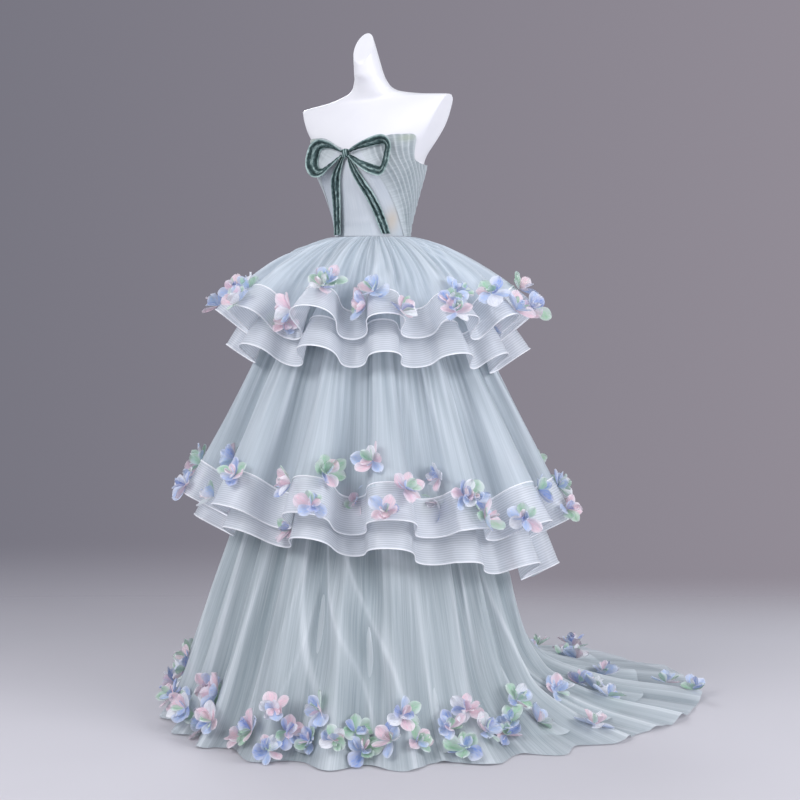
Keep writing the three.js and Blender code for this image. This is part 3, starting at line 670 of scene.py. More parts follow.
@dataclass(frozen=True)
class CrushedVelvet(Finish):
    """Crushed rayon velvet, whose short pile was pressed in all directions.

    Pile that leans away looks deep green and pile that leans to the eye flashes pale, in patches
    of 4 to 8 mm; here that pale flash is painted sheen in the colour. The painted "fold" value
    adds painted highlights on the folds and woven edges and painted shade in the troughs.

    Attributes:
        dark: Colour of pile that leans away, and of the painted shade in the troughs.
        middle: Colour of upright pile.
        bright: Colour of pile that leans to the eye, a painted sheen, and of the painted
            highlights.
    """

    name: str = "crushed_rayon_velvet"
    dark: str = "#1f2e2f"
    middle: str = "#4b6162"
    bright: str = "#aec4c2"

    def surface(self, tree: Tree) -> dict[str, object]:
        """Adds this finish's nodes and returns the shader's inputs."""
        crush = threads(tree, 5.0, 8.0, 3.0)
        along = threads(tree, 2.2, 60.0, 3.0)
        # The painted fold value: painted highlights on the ridges and edges, painted shade in the
        # troughs.
        fold = add_node(tree, "Attribute", attribute_name="fold").outputs["Fac"]
        pile = add_node(tree, "Math", {0: crush, 1: along}, operation="ADD").outputs[0]
        spread = add_node(
            tree, "MapRange", {"Value": pile, "From Min": 0.7, "From Max": 1.35}
        ).outputs[0]
        low = add_node(
            tree, "Math", {0: fold, 1: 0.75, 2: -0.12}, operation="MULTIPLY_ADD"
        ).outputs[0]
        tone = add_node(
            tree, "Math", {0: spread, 1: 0.5, 2: low}, operation="MULTIPLY_ADD", use_clamp=True
        ).outputs[0]
        deep = add_node(
            tree, "MapRange", {"Value": tone, "From Min": 0.05, "From Max": 0.5}
        ).outputs[0]
        # Painted sheen and highlight: the highest tones turn to the bright colour.
        painted_sheen = add_node(
            tree, "MapRange", {"Value": tone, "From Min": 0.5, "From Max": 0.95}
        ).outputs[0]
        lower = add_node(
            tree,
            "Mix",
            {0: deep, MIX_A: tint(self.dark), MIX_B: tint(self.middle)},
            data_type="RGBA",
        ).outputs[MIX_COLOUR]
        colour = add_node(
            tree, "Mix", {0: painted_sheen, MIX_A: lower, MIX_B: tint(self.bright)}, data_type="RGBA"
        ).outputs[MIX_COLOUR]
        bump = add_node(
            tree, "Bump", {"Strength": 0.5, "Distance": 0.0012, "Height": pile}
        ).outputs[0]
        return {
            "Base Color": colour,
            "Roughness": 0.7,
            "IOR": 1.46,
            "Specular IOR Level": 0.15,
            "Sheen Weight": 0.6,
            "Sheen Roughness": 0.3,
            "Sheen Tint": tint("#d4e6e1"),
            "Normal": bump,
        }


@dataclass(frozen=True)
class Organza(Finish):
    """Dyed polyester organza, cut by hot knife into petals.

    Crisp and half clear, with a faint gloss. The dye runs out towards the middle.
    """

    name: str = "dyed_polyester_organza"

    def surface(self, tree: Tree) -> dict[str, object]:
        """Adds this finish's nodes and returns the shader's inputs."""
        dye = add_node(tree, "Attribute", attribute_name="dye").outputs["Color"]
        streak = threads(tree, 3.0, 14.0, 3.0)
        fade = add_node(
            tree,
            "MapRange",
            {"Value": streak, "From Min": 0.35, "From Max": 0.7, "To Min": 0.0, "To Max": 0.45},
        ).outputs[0]
        colour = add_node(
            tree, "Mix", {0: fade, MIX_A: dye, MIX_B: tint("#f6f6fa")}, data_type="RGBA"
        ).outputs[MIX_COLOUR]
        cover = add_node(
            tree,
            "MapRange",
            {"Value": streak, "From Min": 0.3, "From Max": 0.7, "To Min": 0.92, "To Max": 0.66},
        ).outputs[0]
        bump = add_node(
            tree, "Bump", {"Strength": 0.3, "Distance": 0.0006, "Height": streak}
        ).outputs[0]
        return {
            "Base Color": colour,
            "Roughness": 0.5,
            "IOR": 1.55,
            "Specular IOR Level": 0.35,
            "Sheen Weight": 0.25,
            "Alpha": cover,
            "Normal": bump,
        }


@dataclass(frozen=True)
class HardFinish(Finish):
    """A sprayed or moulded hard surface with a faint grain.

    Attributes:
        colour: Its colour.
        cloudy: Its colour where the coat is thinner.
        roughness: Roughness of the coat.
        grain: Size of its grain in millimetres.
    """

    name: str = "moulded_satin_plastic"
    colour: str = "#efeff3"
    cloudy: str = "#e6e6ec"
    roughness: float = 0.42
    grain: float = 1.5

    def surface(self, tree: Tree) -> dict[str, object]:
        """Adds this finish's nodes and returns the shader's inputs."""
        place = add_node(tree, "TexCoord").outputs["Object"]
        cloud = add_node(
            tree, "TexNoise", {"Vector": place, "Scale": 14.0, "Detail": 2.0}
        ).outputs[0]
        colour = add_node(
            tree,
            "Mix",
            {0: cloud, MIX_A: tint(self.colour), MIX_B: tint(self.cloudy)},
            data_type="RGBA",
        ).outputs[MIX_COLOUR]
        peel = add_node(
            tree, "TexNoise", {"Vector": place, "Scale": 1.0 / (self.grain * MM), "Detail": 1.0}
        ).outputs[0]
        bump = add_node(
            tree, "Bump", {"Strength": 0.06, "Distance": 0.0003, "Height": peel}
        ).outputs[0]
        return {
            "Base Color": colour,
            "Roughness": self.roughness,
            "IOR": 1.5,
            "Normal": bump,
        }


TULLE = Tulle()
# Lit and shaded copies of the same tulle: the top flounce's copy is painted lighter, and the
# lower flounce's copy darker, painted shade for the shadow that it hangs in.
LIT_UPPER_VEIL = Tulle(
    name="nylon_tulle_top_flounce_lit", light="#e3ebf4", shade="#b7c5d0", thin=0.6
)
SHADED_LOWER_VEIL = Tulle(name="nylon_tulle_flounce_shaded", light="#dce4ec", shade="#aab8c1", thin=0.56)
BRAID = HorsehairBraid()
EDGING = WovenCloth(
    name="satin_edging", light="#fafbff", shade="#eef1f7", streak=(8.0, 2.0), roughness=0.4
)
LINING = WovenCloth()
# Its light and shade colours carry painted light: the painted shadow of the bow on the front and
# painted shading of the soft waves.
BODICE_NET = WovenCloth(
    name="tulle_over_satin", light="#d3d7dd", shade="#a6b3bd", streak=(2.5, 60.0), roughness=0.7
)
# Its light colour is the painted highlight on the pleats' ridges and its dark shade colour the
# painted shade between them.
PLEATED_NET = WovenCloth(
    name="pleated_tulle_over_satin",
    light="#cfd6da",
    shade="#6c7a81",
    streak=(60.0, 2.5),
    roughness=0.7,
    attribute="pleat",
    blush="#a9b3a0",
)
VELVET = CrushedVelvet()
ORGANZA = Organza()
FORM_SHELL = HardFinish()
STAND_COAT = HardFinish(
    name="powder_coated_steel", colour="#dcdce1", cloudy="#cfcfd6", roughness=0.35, grain=0.8
)


# ---- the dress form


@dataclass
class DressForm:
    """A limbless form of moulded plastic on a steel pole and a round base.

    Attributes:
        columns: Points around the torso.
        row_step: Distance between the torso's rows.
        pole_columns: Points around the pole and the base.
        pole_radius: Radius of the pole.
        base_radius: Radius of the base.
        base_edge: Height of the base's rim.
        base_crown: Height of the base at the pole.
        chamfer: Width of the bevel on the pole's foot and the base's rim.
        arm_rounding: Radius at the rim of the flat oval where an arm would start.
    """

    columns: int = 240
    row_step: float = 4.0
    pole_columns: int = 96
    pole_radius: float = 12.5
    base_radius: float = 150.0
    base_edge: float = 8.0
    base_crown: float = 14.0
    chamfer: float = 1.5
    arm_rounding: float = 5.0

    # Sections from the hips to the neck. front, back and side are measured from the section's
    # centre. tilt is the section's rise towards the back, and lean its rise towards the
    # wearer's left, for each millimetre.
    SECTIONS = Table(
        "height side front back centre tilt lean",
        [
            [842, 104, 84, 86, 0, 0, 0],
            [862, 124, 100, 102, 0, 0, 0],
            [915, 134, 108, 110, 0, 0, 0],
            [985, 120, 94, 97, 0, 0, 0],
            [1050, 98, 79, 80, 0, 0, 0],
            [1095, 88, 73, 73, 0, 0, 0],
            [1140, 92, 78, 76, 0, 0, 0],
            [1190, 105, 91, 85, 0, 0, 0],
            [1235, 119, 103, 92, 0, 0, 0],
            [1275, 130, 104, 95, 1, 0, 0],
            [1315, 160, 90, 90, 7, 0, 0],
            [1350, 193, 76, 78, 13, 0, 0.02],
            [1382, 211, 60, 60, 17, 0, 0.04],
            [1402, 200, 46, 48, 17, 0, 0.045],
            [1411, 124, 42, 44, 13, 0, 0.045],
            [1425, 62, 40, 42, 5, 0, 0.03],
            [1448, 38, 37, 37, -9, 0.1, 0],
            [1477, 30, 31, 31, -24, 0.7, 0],
            [1519, 24, 19, 19, -41, 1.9, 0],
        ],
    )
    # The flat oval where an arm would start, and the swell of the bust.
    CUT_LOW, CUT_HIGH = (1262.0, 124.0), (1400.0, 190.0)
    BUST_HEIGHT, BUST_ANGLE, BUST_DEPTH, BUST_WIDE, BUST_TALL = 1238.0, 33.0, 15.0, 25.0, 46.0

    def point(self, angle: Number, height: Number, out: Number = 0.0) -> Array:
        """Points on the form.

        Args:
            angle: Degrees around the pole.
            height: Height of the section.
            out: Distance by which they are moved out.

        Returns:
            The points, with three coordinates last.
        """
        angle, height, out = np.broadcast_arrays(
            np.asarray(angle, float), np.asarray(height, float), np.asarray(out, float)
        )
        depth = np.where(
            sin_deg(angle) < 0,
            self.SECTIONS.smooth("front", height),
            self.SECTIONS.smooth("back", height),
        )
        from_front = np.mod(angle - FRONT + 180.0, 360.0) - 180.0
        aside = (np.abs(np.abs(from_front) - self.BUST_ANGLE)) / self.BUST_WIDE
        above = (height - self.BUST_HEIGHT) / self.BUST_TALL
        bust = self.BUST_DEPTH * np.exp(-(aside**2) - above**2)
        (low, low_reach), (high, high_reach) = self.CUT_LOW, self.CUT_HIGH
        reach = mix(low_reach, high_reach, np.maximum((height - low) / (high - low), 0.0)) + out
        x = (self.SECTIONS.smooth("side", height) + bust + out) * cos_deg(angle)
        y = (depth + bust + out) * sin_deg(angle)
        beyond = np.abs(x) - reach
        within = reach + 0.5 * (beyond - np.sqrt(beyond**2 + self.arm_rounding**2))
        x = np.where(height > low, np.sign(x) * within, x)
        rise = self.SECTIONS.smooth("tilt", height) * y + self.SECTIONS.smooth("lean", height) * x
        centre = self.SECTIONS.smooth("centre", height)
        return np.stack([x, y + centre, height + rise], axis=-1)

    def torso(self) -> Patch:
        """The smooth shell of the torso, from the neck down."""
        heights = self.SECTIONS.columns["height"]
        levels = [heights[:1]]
        for low, high in zip(heights[:-1], heights[1:]):
            widths = self.SECTIONS.smooth("side", np.array([low, high]))
            run = math.hypot(high - low, widths[1] - widths[0])
            levels.append(np.linspace(low, high, max(int(run / self.row_step), 3) + 1)[1:])
        rows = np.concatenate(levels)[::-1]
        turns = full_turn(self.columns, BACK)
        return Patch(self.point(turns[None], rows[:, None]), ring=True, caps=True)

    def turned(self, profile: Sequence[tuple[float, float]]) -> Patch:
        """A solid turned around the pole, from its profile of radius and height, top first."""
        radius, height = np.array(profile, float).T
        radius, height = radius[:, None], height[:, None]
        rows = around_pole(full_turn(self.pole_columns), radius, radius, height)
        return Patch(rows, ring=True, caps=True)

    def build(self) -> None:
        """Makes the torso, the pole and the base."""
        torso = piece("dress_form_torso", [self.torso()], FORM_SHELL)
        torso.data.set_sharp_from_angle(angle=math.radians(38.0))
        wear(torso, Slot.FORM, ["form_torso"])
        top = float(self.SECTIONS.columns["height"][0]) - SEAM_GAP
        bottom = self.base_crown + SEAM_GAP
        levels = (top, bottom + self.chamfer, bottom)
        pole = self.turned([(self.pole_radius, level) for level in levels])
        base = self.turned(
            [
                (self.pole_radius * 2, self.base_crown),
                (self.base_radius - self.chamfer, self.base_edge),
                (self.base_radius, self.base_edge - self.chamfer),
                (self.base_radius, 0.0),
            ]
        )
        for name, patch in (("form_pole", pole), ("form_base", base)):
            obj = piece(f"dress_{name}", [patch], STAND_COAT)
            obj.data.set_sharp_from_angle(angle=math.radians(30.0))
            wear(obj, Slot.STAND, [name])


# ---- the bodice


@dataclass
class Bodice:
    """The boned bodice: a smooth front, pleated cups and sides, and two back panels.

    Attributes:
        form: The form that it is worn on.
        ease: How far its inside stands off the form above the waist.
        pleat_width: From one pleat to the next.
        pleat_depth: How far a pleat stands up.
        pleat_slant: How far a pleat moves around for each millimetre that it falls.
        mean_radius: The bodice's usual radius, by which its pleats are spaced.
        cup_seam_top: Degrees from the front where a cup's seam meets the neckline.
        cup_seam_waist: Degrees from the front where it meets the waist.
        side_seam: Degrees from the front of the side seam.
        side_top: Degrees from the front where the last pleat starts.
        waist_share: Share of the pleats that end at the waist.
        zip_half_angle: Half the zip's width in degrees.
    """

    form: DressForm
    ease: float = 5.8
    pleat_width: float = 13.5
    pleat_depth: float = 2.4
    pleat_slant: float = 0.68
    mean_radius: float = 118.0
    cup_seam_top: float = 9.0
    cup_seam_waist: float = 80.0
    side_seam: float = 106.0
    side_top: float = 97.0
    waist_share: float = 0.3
    zip_half_angle: float = 3.2

    NECKLINE = Table(
        "aside height",
        [
            [0, 1284],
            [12, 1296],
            [28, 1317],
            [42, 1320],
            [54, 1318],
            [61, 1302],
            [68, 1278],
            [76, 1263],
            [88, 1257],
            [106, 1256],
            [180, 1256],
        ],
    )
    BOTTOM = WAIST_HEIGHT + SEAM_GAP
    NECK_DIP = 1290.0  # height at which a cup's seam reaches the neckline
    PLEAT_RISE = 1.6  # how far the pleats lift what lies over them
    EASE_RUN = 60.0  # height over which the ease grows from the waist up
    PANEL_GAP = 0.35  # degrees between a back panel and its neighbours

    def neckline(self, aside: Number) -> Array:
        """Height of the top edge, by degrees from the centre front."""
        return self.NECKLINE.smooth("height", np.abs(aside))

    def point(self, aside: Number, height: Number, out: Number = 0.0) -> Array:
        """Points of the outer surface, by degrees from the centre front and height."""
        share = np.clip((np.asarray(height, float) - WAIST_HEIGHT) / self.EASE_RUN, 0.0, 1.0)
        ease = mix(SEAT_GAP * 2, self.ease, share)
        return self.form.point(FRONT + aside, height, ease + CLOTH + out)

    def face_at(self, x: Number, height: Number) -> Array:
        """Points of the outer surface straight behind places in front of it."""
        x = np.asarray(x, float)
        near, far = np.zeros_like(x), np.full_like(x, 90.0)
        for _ in range(24):
            middle = (near + far) / 2
            short = self.point(middle, height)[..., 0] < np.abs(x)
            near, far = np.where(short, middle, near), np.where(short, far, middle)
        return self.point(np.sign(x) * near, height, self.PLEAT_RISE)

    def rolled(self, aside: Array, height: Array, raised: Array) -> tuple[Array, Array]:
        """A panel's points with its top edge turned over to the inside.

        Args:
            aside: Degrees from the centre front, rows by columns.
            height: Heights, rows by columns.
            raised: How far each point stands out.

        Returns:
            The points, and how many rows the turned edge has.
        """
        turned = [(-CLOTH - 0.5, -9.0), (-CLOTH - 0.5, -3.0), (-CLOTH, -0.8), (-0.8, 0.0)]
        edge = [self.point(aside[0], height[0] + drop, out) for out, drop in turned]
        body = self.point(aside, height, raised)
        body[0] = self.point(aside[0], height[0] - 0.4, 0.2)
        return np.concatenate([np.stack(edge), body]), len(turned)

    def panel(
        self,
        name: str,
        aside: Array,
        height: Array,
        raised: Array,
        paint: dict[str, Array],
        finish: Finish,
    ) -> None:
        """Makes one panel.

        Args:
            name: The node that it stands for.
            aside: Degrees from the centre front, rows by columns.
            height: Heights, rows by columns.
            raised: How far each point stands out.
            paint: Painted values, rows by columns.
            finish: Its material.
        """
        points, extra = self.rolled(aside, height, raised)
        if aside[0, 0] > aside[0, -1]:
            points = points[:, ::-1]
            paint = {key: values[:, ::-1] for key, values in paint.items()}
        full = {
            key: np.concatenate([np.repeat(values[:1], extra, axis=0), values])
            for key, values in paint.items()
        }
        patch = Patch(points, paint=full)
        obj = piece(f"{name}_panel", [patch], finish)
        slot = Slot.PLEATED if finish is PLEATED_NET else Slot.BODICE
        wear(obj, slot, [name])
        cloth(obj, patch)

    def front(self) -> None:
        """The smooth centre front, which widens from the knot down to the waist."""
        down = np.linspace(0.0, 1.0, 90)[:, None]
        share = np.linspace(-1.0, 1.0, 121)[None]
        tucked = 2.4
        aside = share * (mix(self.cup_seam_top, self.cup_seam_waist, down) + tucked)
        height = mix(self.neckline(np.abs(share) * self.cup_seam_top), self.BOTTOM, down)
        waves = cloth_noise(share / 2 + 0.5, down, (5, 16), 11) * soft_step(down, 0.55, 1.0)
        glow = np.exp(-(((aside - 54.0) / 11.0) ** 2) - ((height - 1130.0) / 26.0) ** 2)
        under = soft_step(np.abs(share) * np.ones_like(down), 0.9, 1.0)
        # Painted shade: darker away from the middle of the front, a painted shadow of the bow,
        # and lighter and darker with the soft waves as painted highlight and painted shade.
        tone = 0.75 + 0.2 * waves - 0.5 * soft_step(np.abs(aside - 8.0), 14.0, 60.0)
        paint = {"fold": np.clip(tone, 0.0, 1.0), "blush": 0.7 * glow}
        self.panel("bodice_front", aside, height, 0.5 * waves - 1.6 * under, paint, BODICE_NET)

    def side(self, name: str, side: int) -> None:
        """A cup and side, whose pleats fall from the neckline to the side seam.

        Args:
            name: The node that it stands for.
            side: 1 for the wearer's left and -1 for the right.
        """
        across = np.linspace(0.0, 1.0, 421)[None]
        down = np.linspace(0.0, 1.0, 84)[:, None]
        top = mix(self.cup_seam_top, self.side_top, across)
        along_waist = np.minimum(across / self.waist_share, 1.0)
        up_seam = np.maximum((across - self.waist_share) / (1 - self.waist_share), 0.0)
        end_angle = mix(self.cup_seam_waist, self.side_seam, along_waist)
        end_height = mix(self.BOTTOM, self.neckline(self.side_seam), up_seam)
        aside = mix(top, end_angle, down)
        height = mix(self.neckline(top), end_height, down)
        around = np.radians(aside) * self.mean_radius
        uneven = 0.3 * cloth_noise(aside / 120.0, down, (7, 3), 23 + side)
        pleat = (around + self.pleat_slant * (height - WAIST_HEIGHT)) / self.pleat_width + uneven
        ridge = np.exp(-(((np.mod(pleat, 1.0) - 0.5) / 0.2) ** 2))
        fallen = (self.NECK_DIP - height) / (self.NECK_DIP - self.BOTTOM)
        seam = mix(self.cup_seam_top, self.cup_seam_waist, fallen)
        shown = 1.0 if side > 0 else 0.35
        gather = soft_step(aside - seam, 2.0, 18.0) * shown
        deep = gather * (0.85 + 0.3 * cloth_noise(aside / 120.0, down, (11, 2), 41 + side))
        raised = self.pleat_depth * ridge * deep
        soft = cloth_noise(aside / 120.0, down, (9, 5), 47)
        # Painted light: a painted highlight along each pleat's ridge and painted shade in the
        # gathered cloth between the pleats. The plain cloth by the seam and the shallower pleats
        # on the wearer's right get less painted shade.
        plain = mix(0.9, 0.4, gather)
        tone = mix(plain, 0.08 + 0.92 * ridge, 0.75 * gather) + 0.1 * soft
        upper = np.exp(-(((aside - 48.0) / 9.0) ** 2) - ((height - 1312.0) / 8.0) ** 2)
        paint = {"pleat": np.clip(tone, 0.0, 1.0), "blush": 0.6 * upper}
        self.panel(name, side * aside, height, raised, paint, PLEATED_NET)

    def back(self, name: str, side: int) -> None:
        """A plain back panel between the side seam and the zip."""
        across = np.linspace(0.0, 1.0, 60)[None]
        down = np.linspace(0.0, 1.0, 60)[:, None]
        start = self.side_seam + self.PANEL_GAP
        end = 180.0 - self.zip_half_angle - self.PANEL_GAP
        aside = mix(start, end, across) * np.ones_like(down)
        height = mix(self.neckline(aside), self.BOTTOM, down)
        waves = cloth_noise(across, down, (9, 4), 57 + side)
        # Painted light: lighter and darker with the soft waves, painted highlight and painted
        # shade.
        paint = {"fold": 0.55 + 0.3 * waves, "blush": np.zeros_like(waves)}
        self.panel(name, side * aside, height, 0.5 * waves, paint, BODICE_NET)

    def zip(self) -> None:
        """The concealed zip: two folds of cloth that meet over it."""
        across = np.linspace(-1.0, 1.0, 25)[None]
        down = np.linspace(0.0, 1.0, 60)[:, None]
        aside = 180.0 + across * self.zip_half_angle * np.ones_like(down)
        height = mix(float(self.neckline(180.0)), self.BOTTOM, down) * np.ones_like(across)
        lip = 0.9 * np.abs(across) ** 0.5 - 0.9
        raised = lip * np.ones_like(down)
        # Painted shade: darker towards the middle line, where the two folds dip in and meet.
        tone = np.clip(0.2 + 0.8 * np.abs(across) ** 0.6, 0.0, 1.0) * np.ones_like(down)
        paint = {"pleat": tone, "blush": np.zeros_like(tone)}
        self.panel("back_zip", aside, height, raised, paint, PLEATED_NET)

    def build(self) -> None:
        """Makes all the panels."""
        self.front()
        self.side("bodice_side_left", 1)
        self.side("bodice_side_right", -1)
        self.back("bodice_back_left", 1)
        self.back("bodice_back_right", -1)
        self.zip()


# ---- the ribbon bow


def smooth_line(points: Array, count: int) -> tuple[Array, Array]:
    """A centripetal curve through points, read at even distances.

    Args:
        points: The points, one a row.
        count: How many places to read.

    Returns:
        The places and the unit tangents there.
    """
    ends = np.concatenate([[2 * points[0] - points[1]], points, [2 * points[-1] - points[-2]]])
    parts = []
    for p0, p1, p2, p3 in zip(ends[:-3], ends[1:-2], ends[2:-1], ends[3:]):
        t0, t1, t2 = (math.sqrt(np.linalg.norm(b - a)) for a, b in ((p0, p1), (p1, p2), (p2, p3)))
        m1 = t1 * ((p1 - p0) / t0 - (p2 - p0) / (t0 + t1) + (p2 - p1) / t1)
        m2 = t1 * ((p2 - p1) / t1 - (p3 - p1) / (t1 + t2) + (p3 - p2) / t2)
        t = np.linspace(0.0, 1.0, 40, endpoint=False)[:, None]
        start = (1 + 2 * t) * (1 - t) ** 2 * p1 + t * (1 - t) ** 2 * m1
        parts.append(start + t**2 * (3 - 2 * t) * p2 + t**2 * (t - 1) * m2)
    line = np.concatenate(parts + [points[-1:]])
    run = np.concatenate([[0.0], np.cumsum(np.linalg.norm(np.diff(line, axis=0), axis=1))])
    at = np.linspace(0.0, run[-1], count)
    places = np.stack([np.interp(at, run, line[:, k]) for k in range(points.shape[1])], axis=-1)
    return places, unit(np.gradient(places, axis=0))


@dataclass
class RibbonBow:
    """A bow of velvet ribbon: two open loops, a knot and two tails.

    Attributes:
        bodice: What it is sewn to.
        width: The ribbon's width.
        gathered: Its width where the knot holds it.
        relaxed: How much wider it is in the loops, where it isn't drawn together.
        thickness: The ribbon's thickness.
        clear: Gap between the bow and the bodice.
        flare: Degrees by which a loop opens towards the front.
        knot_height: Height of the knot's middle.
        knot_size: The knot's width, depth and height.
    """

    bodice: Bodice
    width: float = 25.0
    gathered: float = 9.0
    relaxed: float = 1.2
    thickness: float = 1.5
    clear: float = 1.0
    flare: float = 56.0
    knot_height: float = 1278.0
    knot_size: tuple[float, float, float] = (17.0, 15.0, 20.0)

    # Middle line of each loop from the knot out and back: across the front, and over the knot.
    LEFT_LOOP = (
        (9.5, 5), (51, 20), (84, 28), (95, 19), (97, -3),
        (95, -26), (87, -40), (72, -38), (46, -26), (9.5, -5),
    )
    RIGHT_LOOP = (
        (9.5, 5), (47, 20), (78, 23), (90, 15), (95, -3),
        (93, -25), (81, -39), (64, -40), (40, -28), (9.5, -5),
    )
    # Middle line of each tail: degrees from the centre front, and distance from the bodice.
    LEFT_TAIL = Table(
        "height aside out width",
        [
            [1267.3, 3.5, 4, 9],
            [1228, 12, 4, 20],
            [1170, 27.5, 3, 22],
            [1125, 39, 2.5, 22],
            [1100, 45, 2.5, 21],
        ],
    )
    RIGHT_TAIL = Table(
        "height aside out width",
        [
            [1267.3, -3.5, 4, 9],
            [1228, -11, 4, 21],
            [1170, -20, 6, 25],
            [1125, -27, 8, 25],
            [1098, -30, 9, 25],
        ],
    )

    def ribbon(
        self,
        name: str,
        first: Array,
        second: Array,
        folds: tuple[float, float, float],
        seed: int,
    ) -> tuple[bpy.types.Object, Patch]:
        """A crushed ribbon between its two edges.

        Args:
            name: The piece's name.
            first: Points of one edge.
            second: Points of the other edge.
            folds: How many lengthwise folds it has, their depth, and their depth at its ends.
            seed: Which wrinkles it has.

        Returns:
            The piece, and the ribbon without its wrinkles.
        """
        count, depth, end_depth = folds
        across = np.linspace(-1.0, 1.0, 31)
        rows = len(first)
        along = np.linspace(0.0, 1.0, rows)[:, None]
        flat = mix(first[:, None], second[:, None], (across[None, :, None] + 1) / 2)
        normal = grid_normals(flat, ring=False)
        near_end = 1.0 - soft_step(np.minimum(along, 1.0 - along), 0.0, 0.3)
        aside = across[None] / 2 + 0.5
        strays = 0.7 * cloth_noise(aside, along, (3, 5), seed)
        ridges = np.cos(across[None] * count * math.pi / 2 + strays)
        crush = cloth_noise(aside, along, (7, max(rows // 5, 4)), seed + 1)
        small = cloth_noise(aside, along, (13, max(rows // 2, 4)), seed + 2)
        lift = mix(depth, end_depth, near_end) * ridges + 1.1 * crush + 0.45 * small
        rim = np.abs(across) ** 8
        middle = flat + normal * (lift * (1.0 - 0.5 * rim))[..., None]
        round_edge = np.sqrt(np.clip(1.0 - np.abs(across) ** 12, 0.0, 1.0))
        offset = 0.5 * self.thickness * round_edge[None, :, None] * normal
        section = np.concatenate([middle + offset, (middle - offset)[:, ::-1]], axis=1)
        # Painted light: painted highlights on the lengthwise ridges and along both edges, painted
        # shade in the troughs, over the crushed patches.
        tone = 0.42 + 0.36 * ridges + 0.24 * crush + 0.12 * small + 0.8 * rim[None]
        tone = np.clip(tone, 0.0, 1.0)
        paint = {"fold": np.concatenate([tone, tone[:, ::-1]], axis=1)}
        patch = Patch(section, ring=True, paint=paint, caps=True)
        obj = piece(name, [patch], VELVET)
        obj.data.set_sharp_from_angle(angle=math.radians(80.0))
        return obj, Patch(flat)

    def loop(self, name: str, table: Sequence[tuple[float, float]], side: int) -> None:
        """A loop that stands out from the bodice with its hollow to the front.

        Args:
            name: The node that it stands for.
            table: Its middle line.
            side: 1 for the wearer's left and -1 for the right.
        """
        stations = 181
        place, along = smooth_line(np.array(table, float), stations)
        share = np.linspace(0.0, 1.0, stations)
        opened = np.sin(math.pi * share).clip(0.0) ** 0.6
        half = mix(self.gathered, self.width * self.relaxed, opened) / 2
        flare = half * sin_deg(self.flare * opened)
        deep = half * cos_deg(self.flare * opened)
        outward = np.stack([-along[:, 1], along[:, 0]], axis=-1) * flare[:, None]
        back, front = place - outward, place + outward
        behind_knot = self.bodice.face_at(0.0, self.knot_height)[1]
        knot_middle = behind_knot - self.clear - self.knot_size[1] / 2
        face = self.bodice.face_at(side * back[:, 0], back[:, 1] + self.knot_height)[:, 1]
        resting = face - self.clear - deep
        y = np.minimum(mix(knot_middle, resting, opened), resting)
        first = np.stack([side * front[:, 0], y - deep, front[:, 1] + self.knot_height], axis=-1)
        second = np.stack([side * back[:, 0], y + deep, back[:, 1] + self.knot_height], axis=-1)
        edges = (first, second) if side > 0 else (second, first)
        obj, flat = self.ribbon(f"{name}_ribbon", *edges, (4.0, 1.6, 1.8), 70 + side)
        wear(obj, Slot.VELVET, [name])
        cloth(obj, flat)

    def tail(self, name: str, table: Table, folds: tuple[float, float, float]) -> None:
        """A tail that hangs from the knot to the waist.

        Args:
            name: The node that it stands for.
            table: Its middle line and width.
            folds: How many lengthwise folds it has, their depth, and their depth at its ends.
        """
        heights = table.columns["height"]
        height = np.linspace(heights[0] + 4.0, heights[-1], 120)
        aside, out, width = (table.smooth(key, height) for key in ("aside", "out", "width"))
        lifted = Bodice.PLEAT_RISE + out
        middle = self.bodice.point(aside, height, lifted)
        half = np.degrees(width / 2 / np.hypot(middle[:, 0], middle[:, 1]))
        first, second = (
            self.bodice.point(aside + sign * half, height, lifted) for sign in (-1, 1)
        )
        obj, flat = self.ribbon(f"{name}_ribbon", first, second, folds, 90 + int(abs(aside[-1])))
        wear(obj, Slot.VELVET, [name])
        cloth(obj, flat)

    def knot(self) -> None:
        """The knot, a short gathered band around the ribbons."""
        wide, deep, tall = (size / 2 for size in self.knot_size)
        level = np.linspace(0.5 * math.pi, -0.5 * math.pi, 40)[:, None]
        turn = np.linspace(0.0, 2 * math.pi, 72, endpoint=False)[None]
        squared = 0.7
        ring = np.abs(np.cos(level)) ** squared
        x = np.sign(np.cos(turn)) * np.abs(np.cos(turn)) ** squared * ring
        y = np.sign(np.sin(turn)) * np.abs(np.sin(turn)) ** squared * ring
        z = np.sign(np.sin(level)) * np.abs(np.sin(level)) ** squared * np.ones_like(turn)
        gathers = np.cos(9.0 * x + 1.5 * z + 0.6)
        pinch = 1.0 - 0.16 * (1.0 - z**2) + 0.07 * gathers * (1.0 - 0.5 * z**2)
        face = self.bodice.face_at(0.0, self.knot_height)
        middle = np.array([0.0, face[1] - self.clear - deep + SEAM_GAP, self.knot_height])
        points = np.stack([x * wide * pinch, y * deep * (1.0 + 0.1 * gathers), z * tall], axis=-1)
        # Painted light: lighter on the ridges of the gathers, painted highlight, and darker in
        # their troughs, painted shade.
        patch = Patch(points + middle, ring=True, paint={"fold": 0.5 + 0.45 * gathers})
        wear(piece("bow_knot_band", [patch], VELVET), Slot.VELVET, ["bow_knot"])

    def build(self) -> None:
        """Makes the whole bow."""
        self.loop("bow_loop_left", self.LEFT_LOOP, 1)
        self.loop("bow_loop_right", self.RIGHT_LOOP, -1)
        self.tail("bow_tail_left", self.LEFT_TAIL, (4.6, 1.7, 1.8))
        self.tail("bow_tail_right", self.RIGHT_TAIL, (4.2, 1.8, 1.6))
        self.knot()


# ---- the flounces

# How far each layer's top edge lies under the waist seam, one layer under the other.
RIM_DROPS = {
    "tier1_outer": 0.0,
    "tier1_inner": 3.1,
    "tier2_outer": 7.2,
    "tier2_inner": 13.8,
    "tier3_skirt": 21.2,
    "underskirt": 37.0,
}


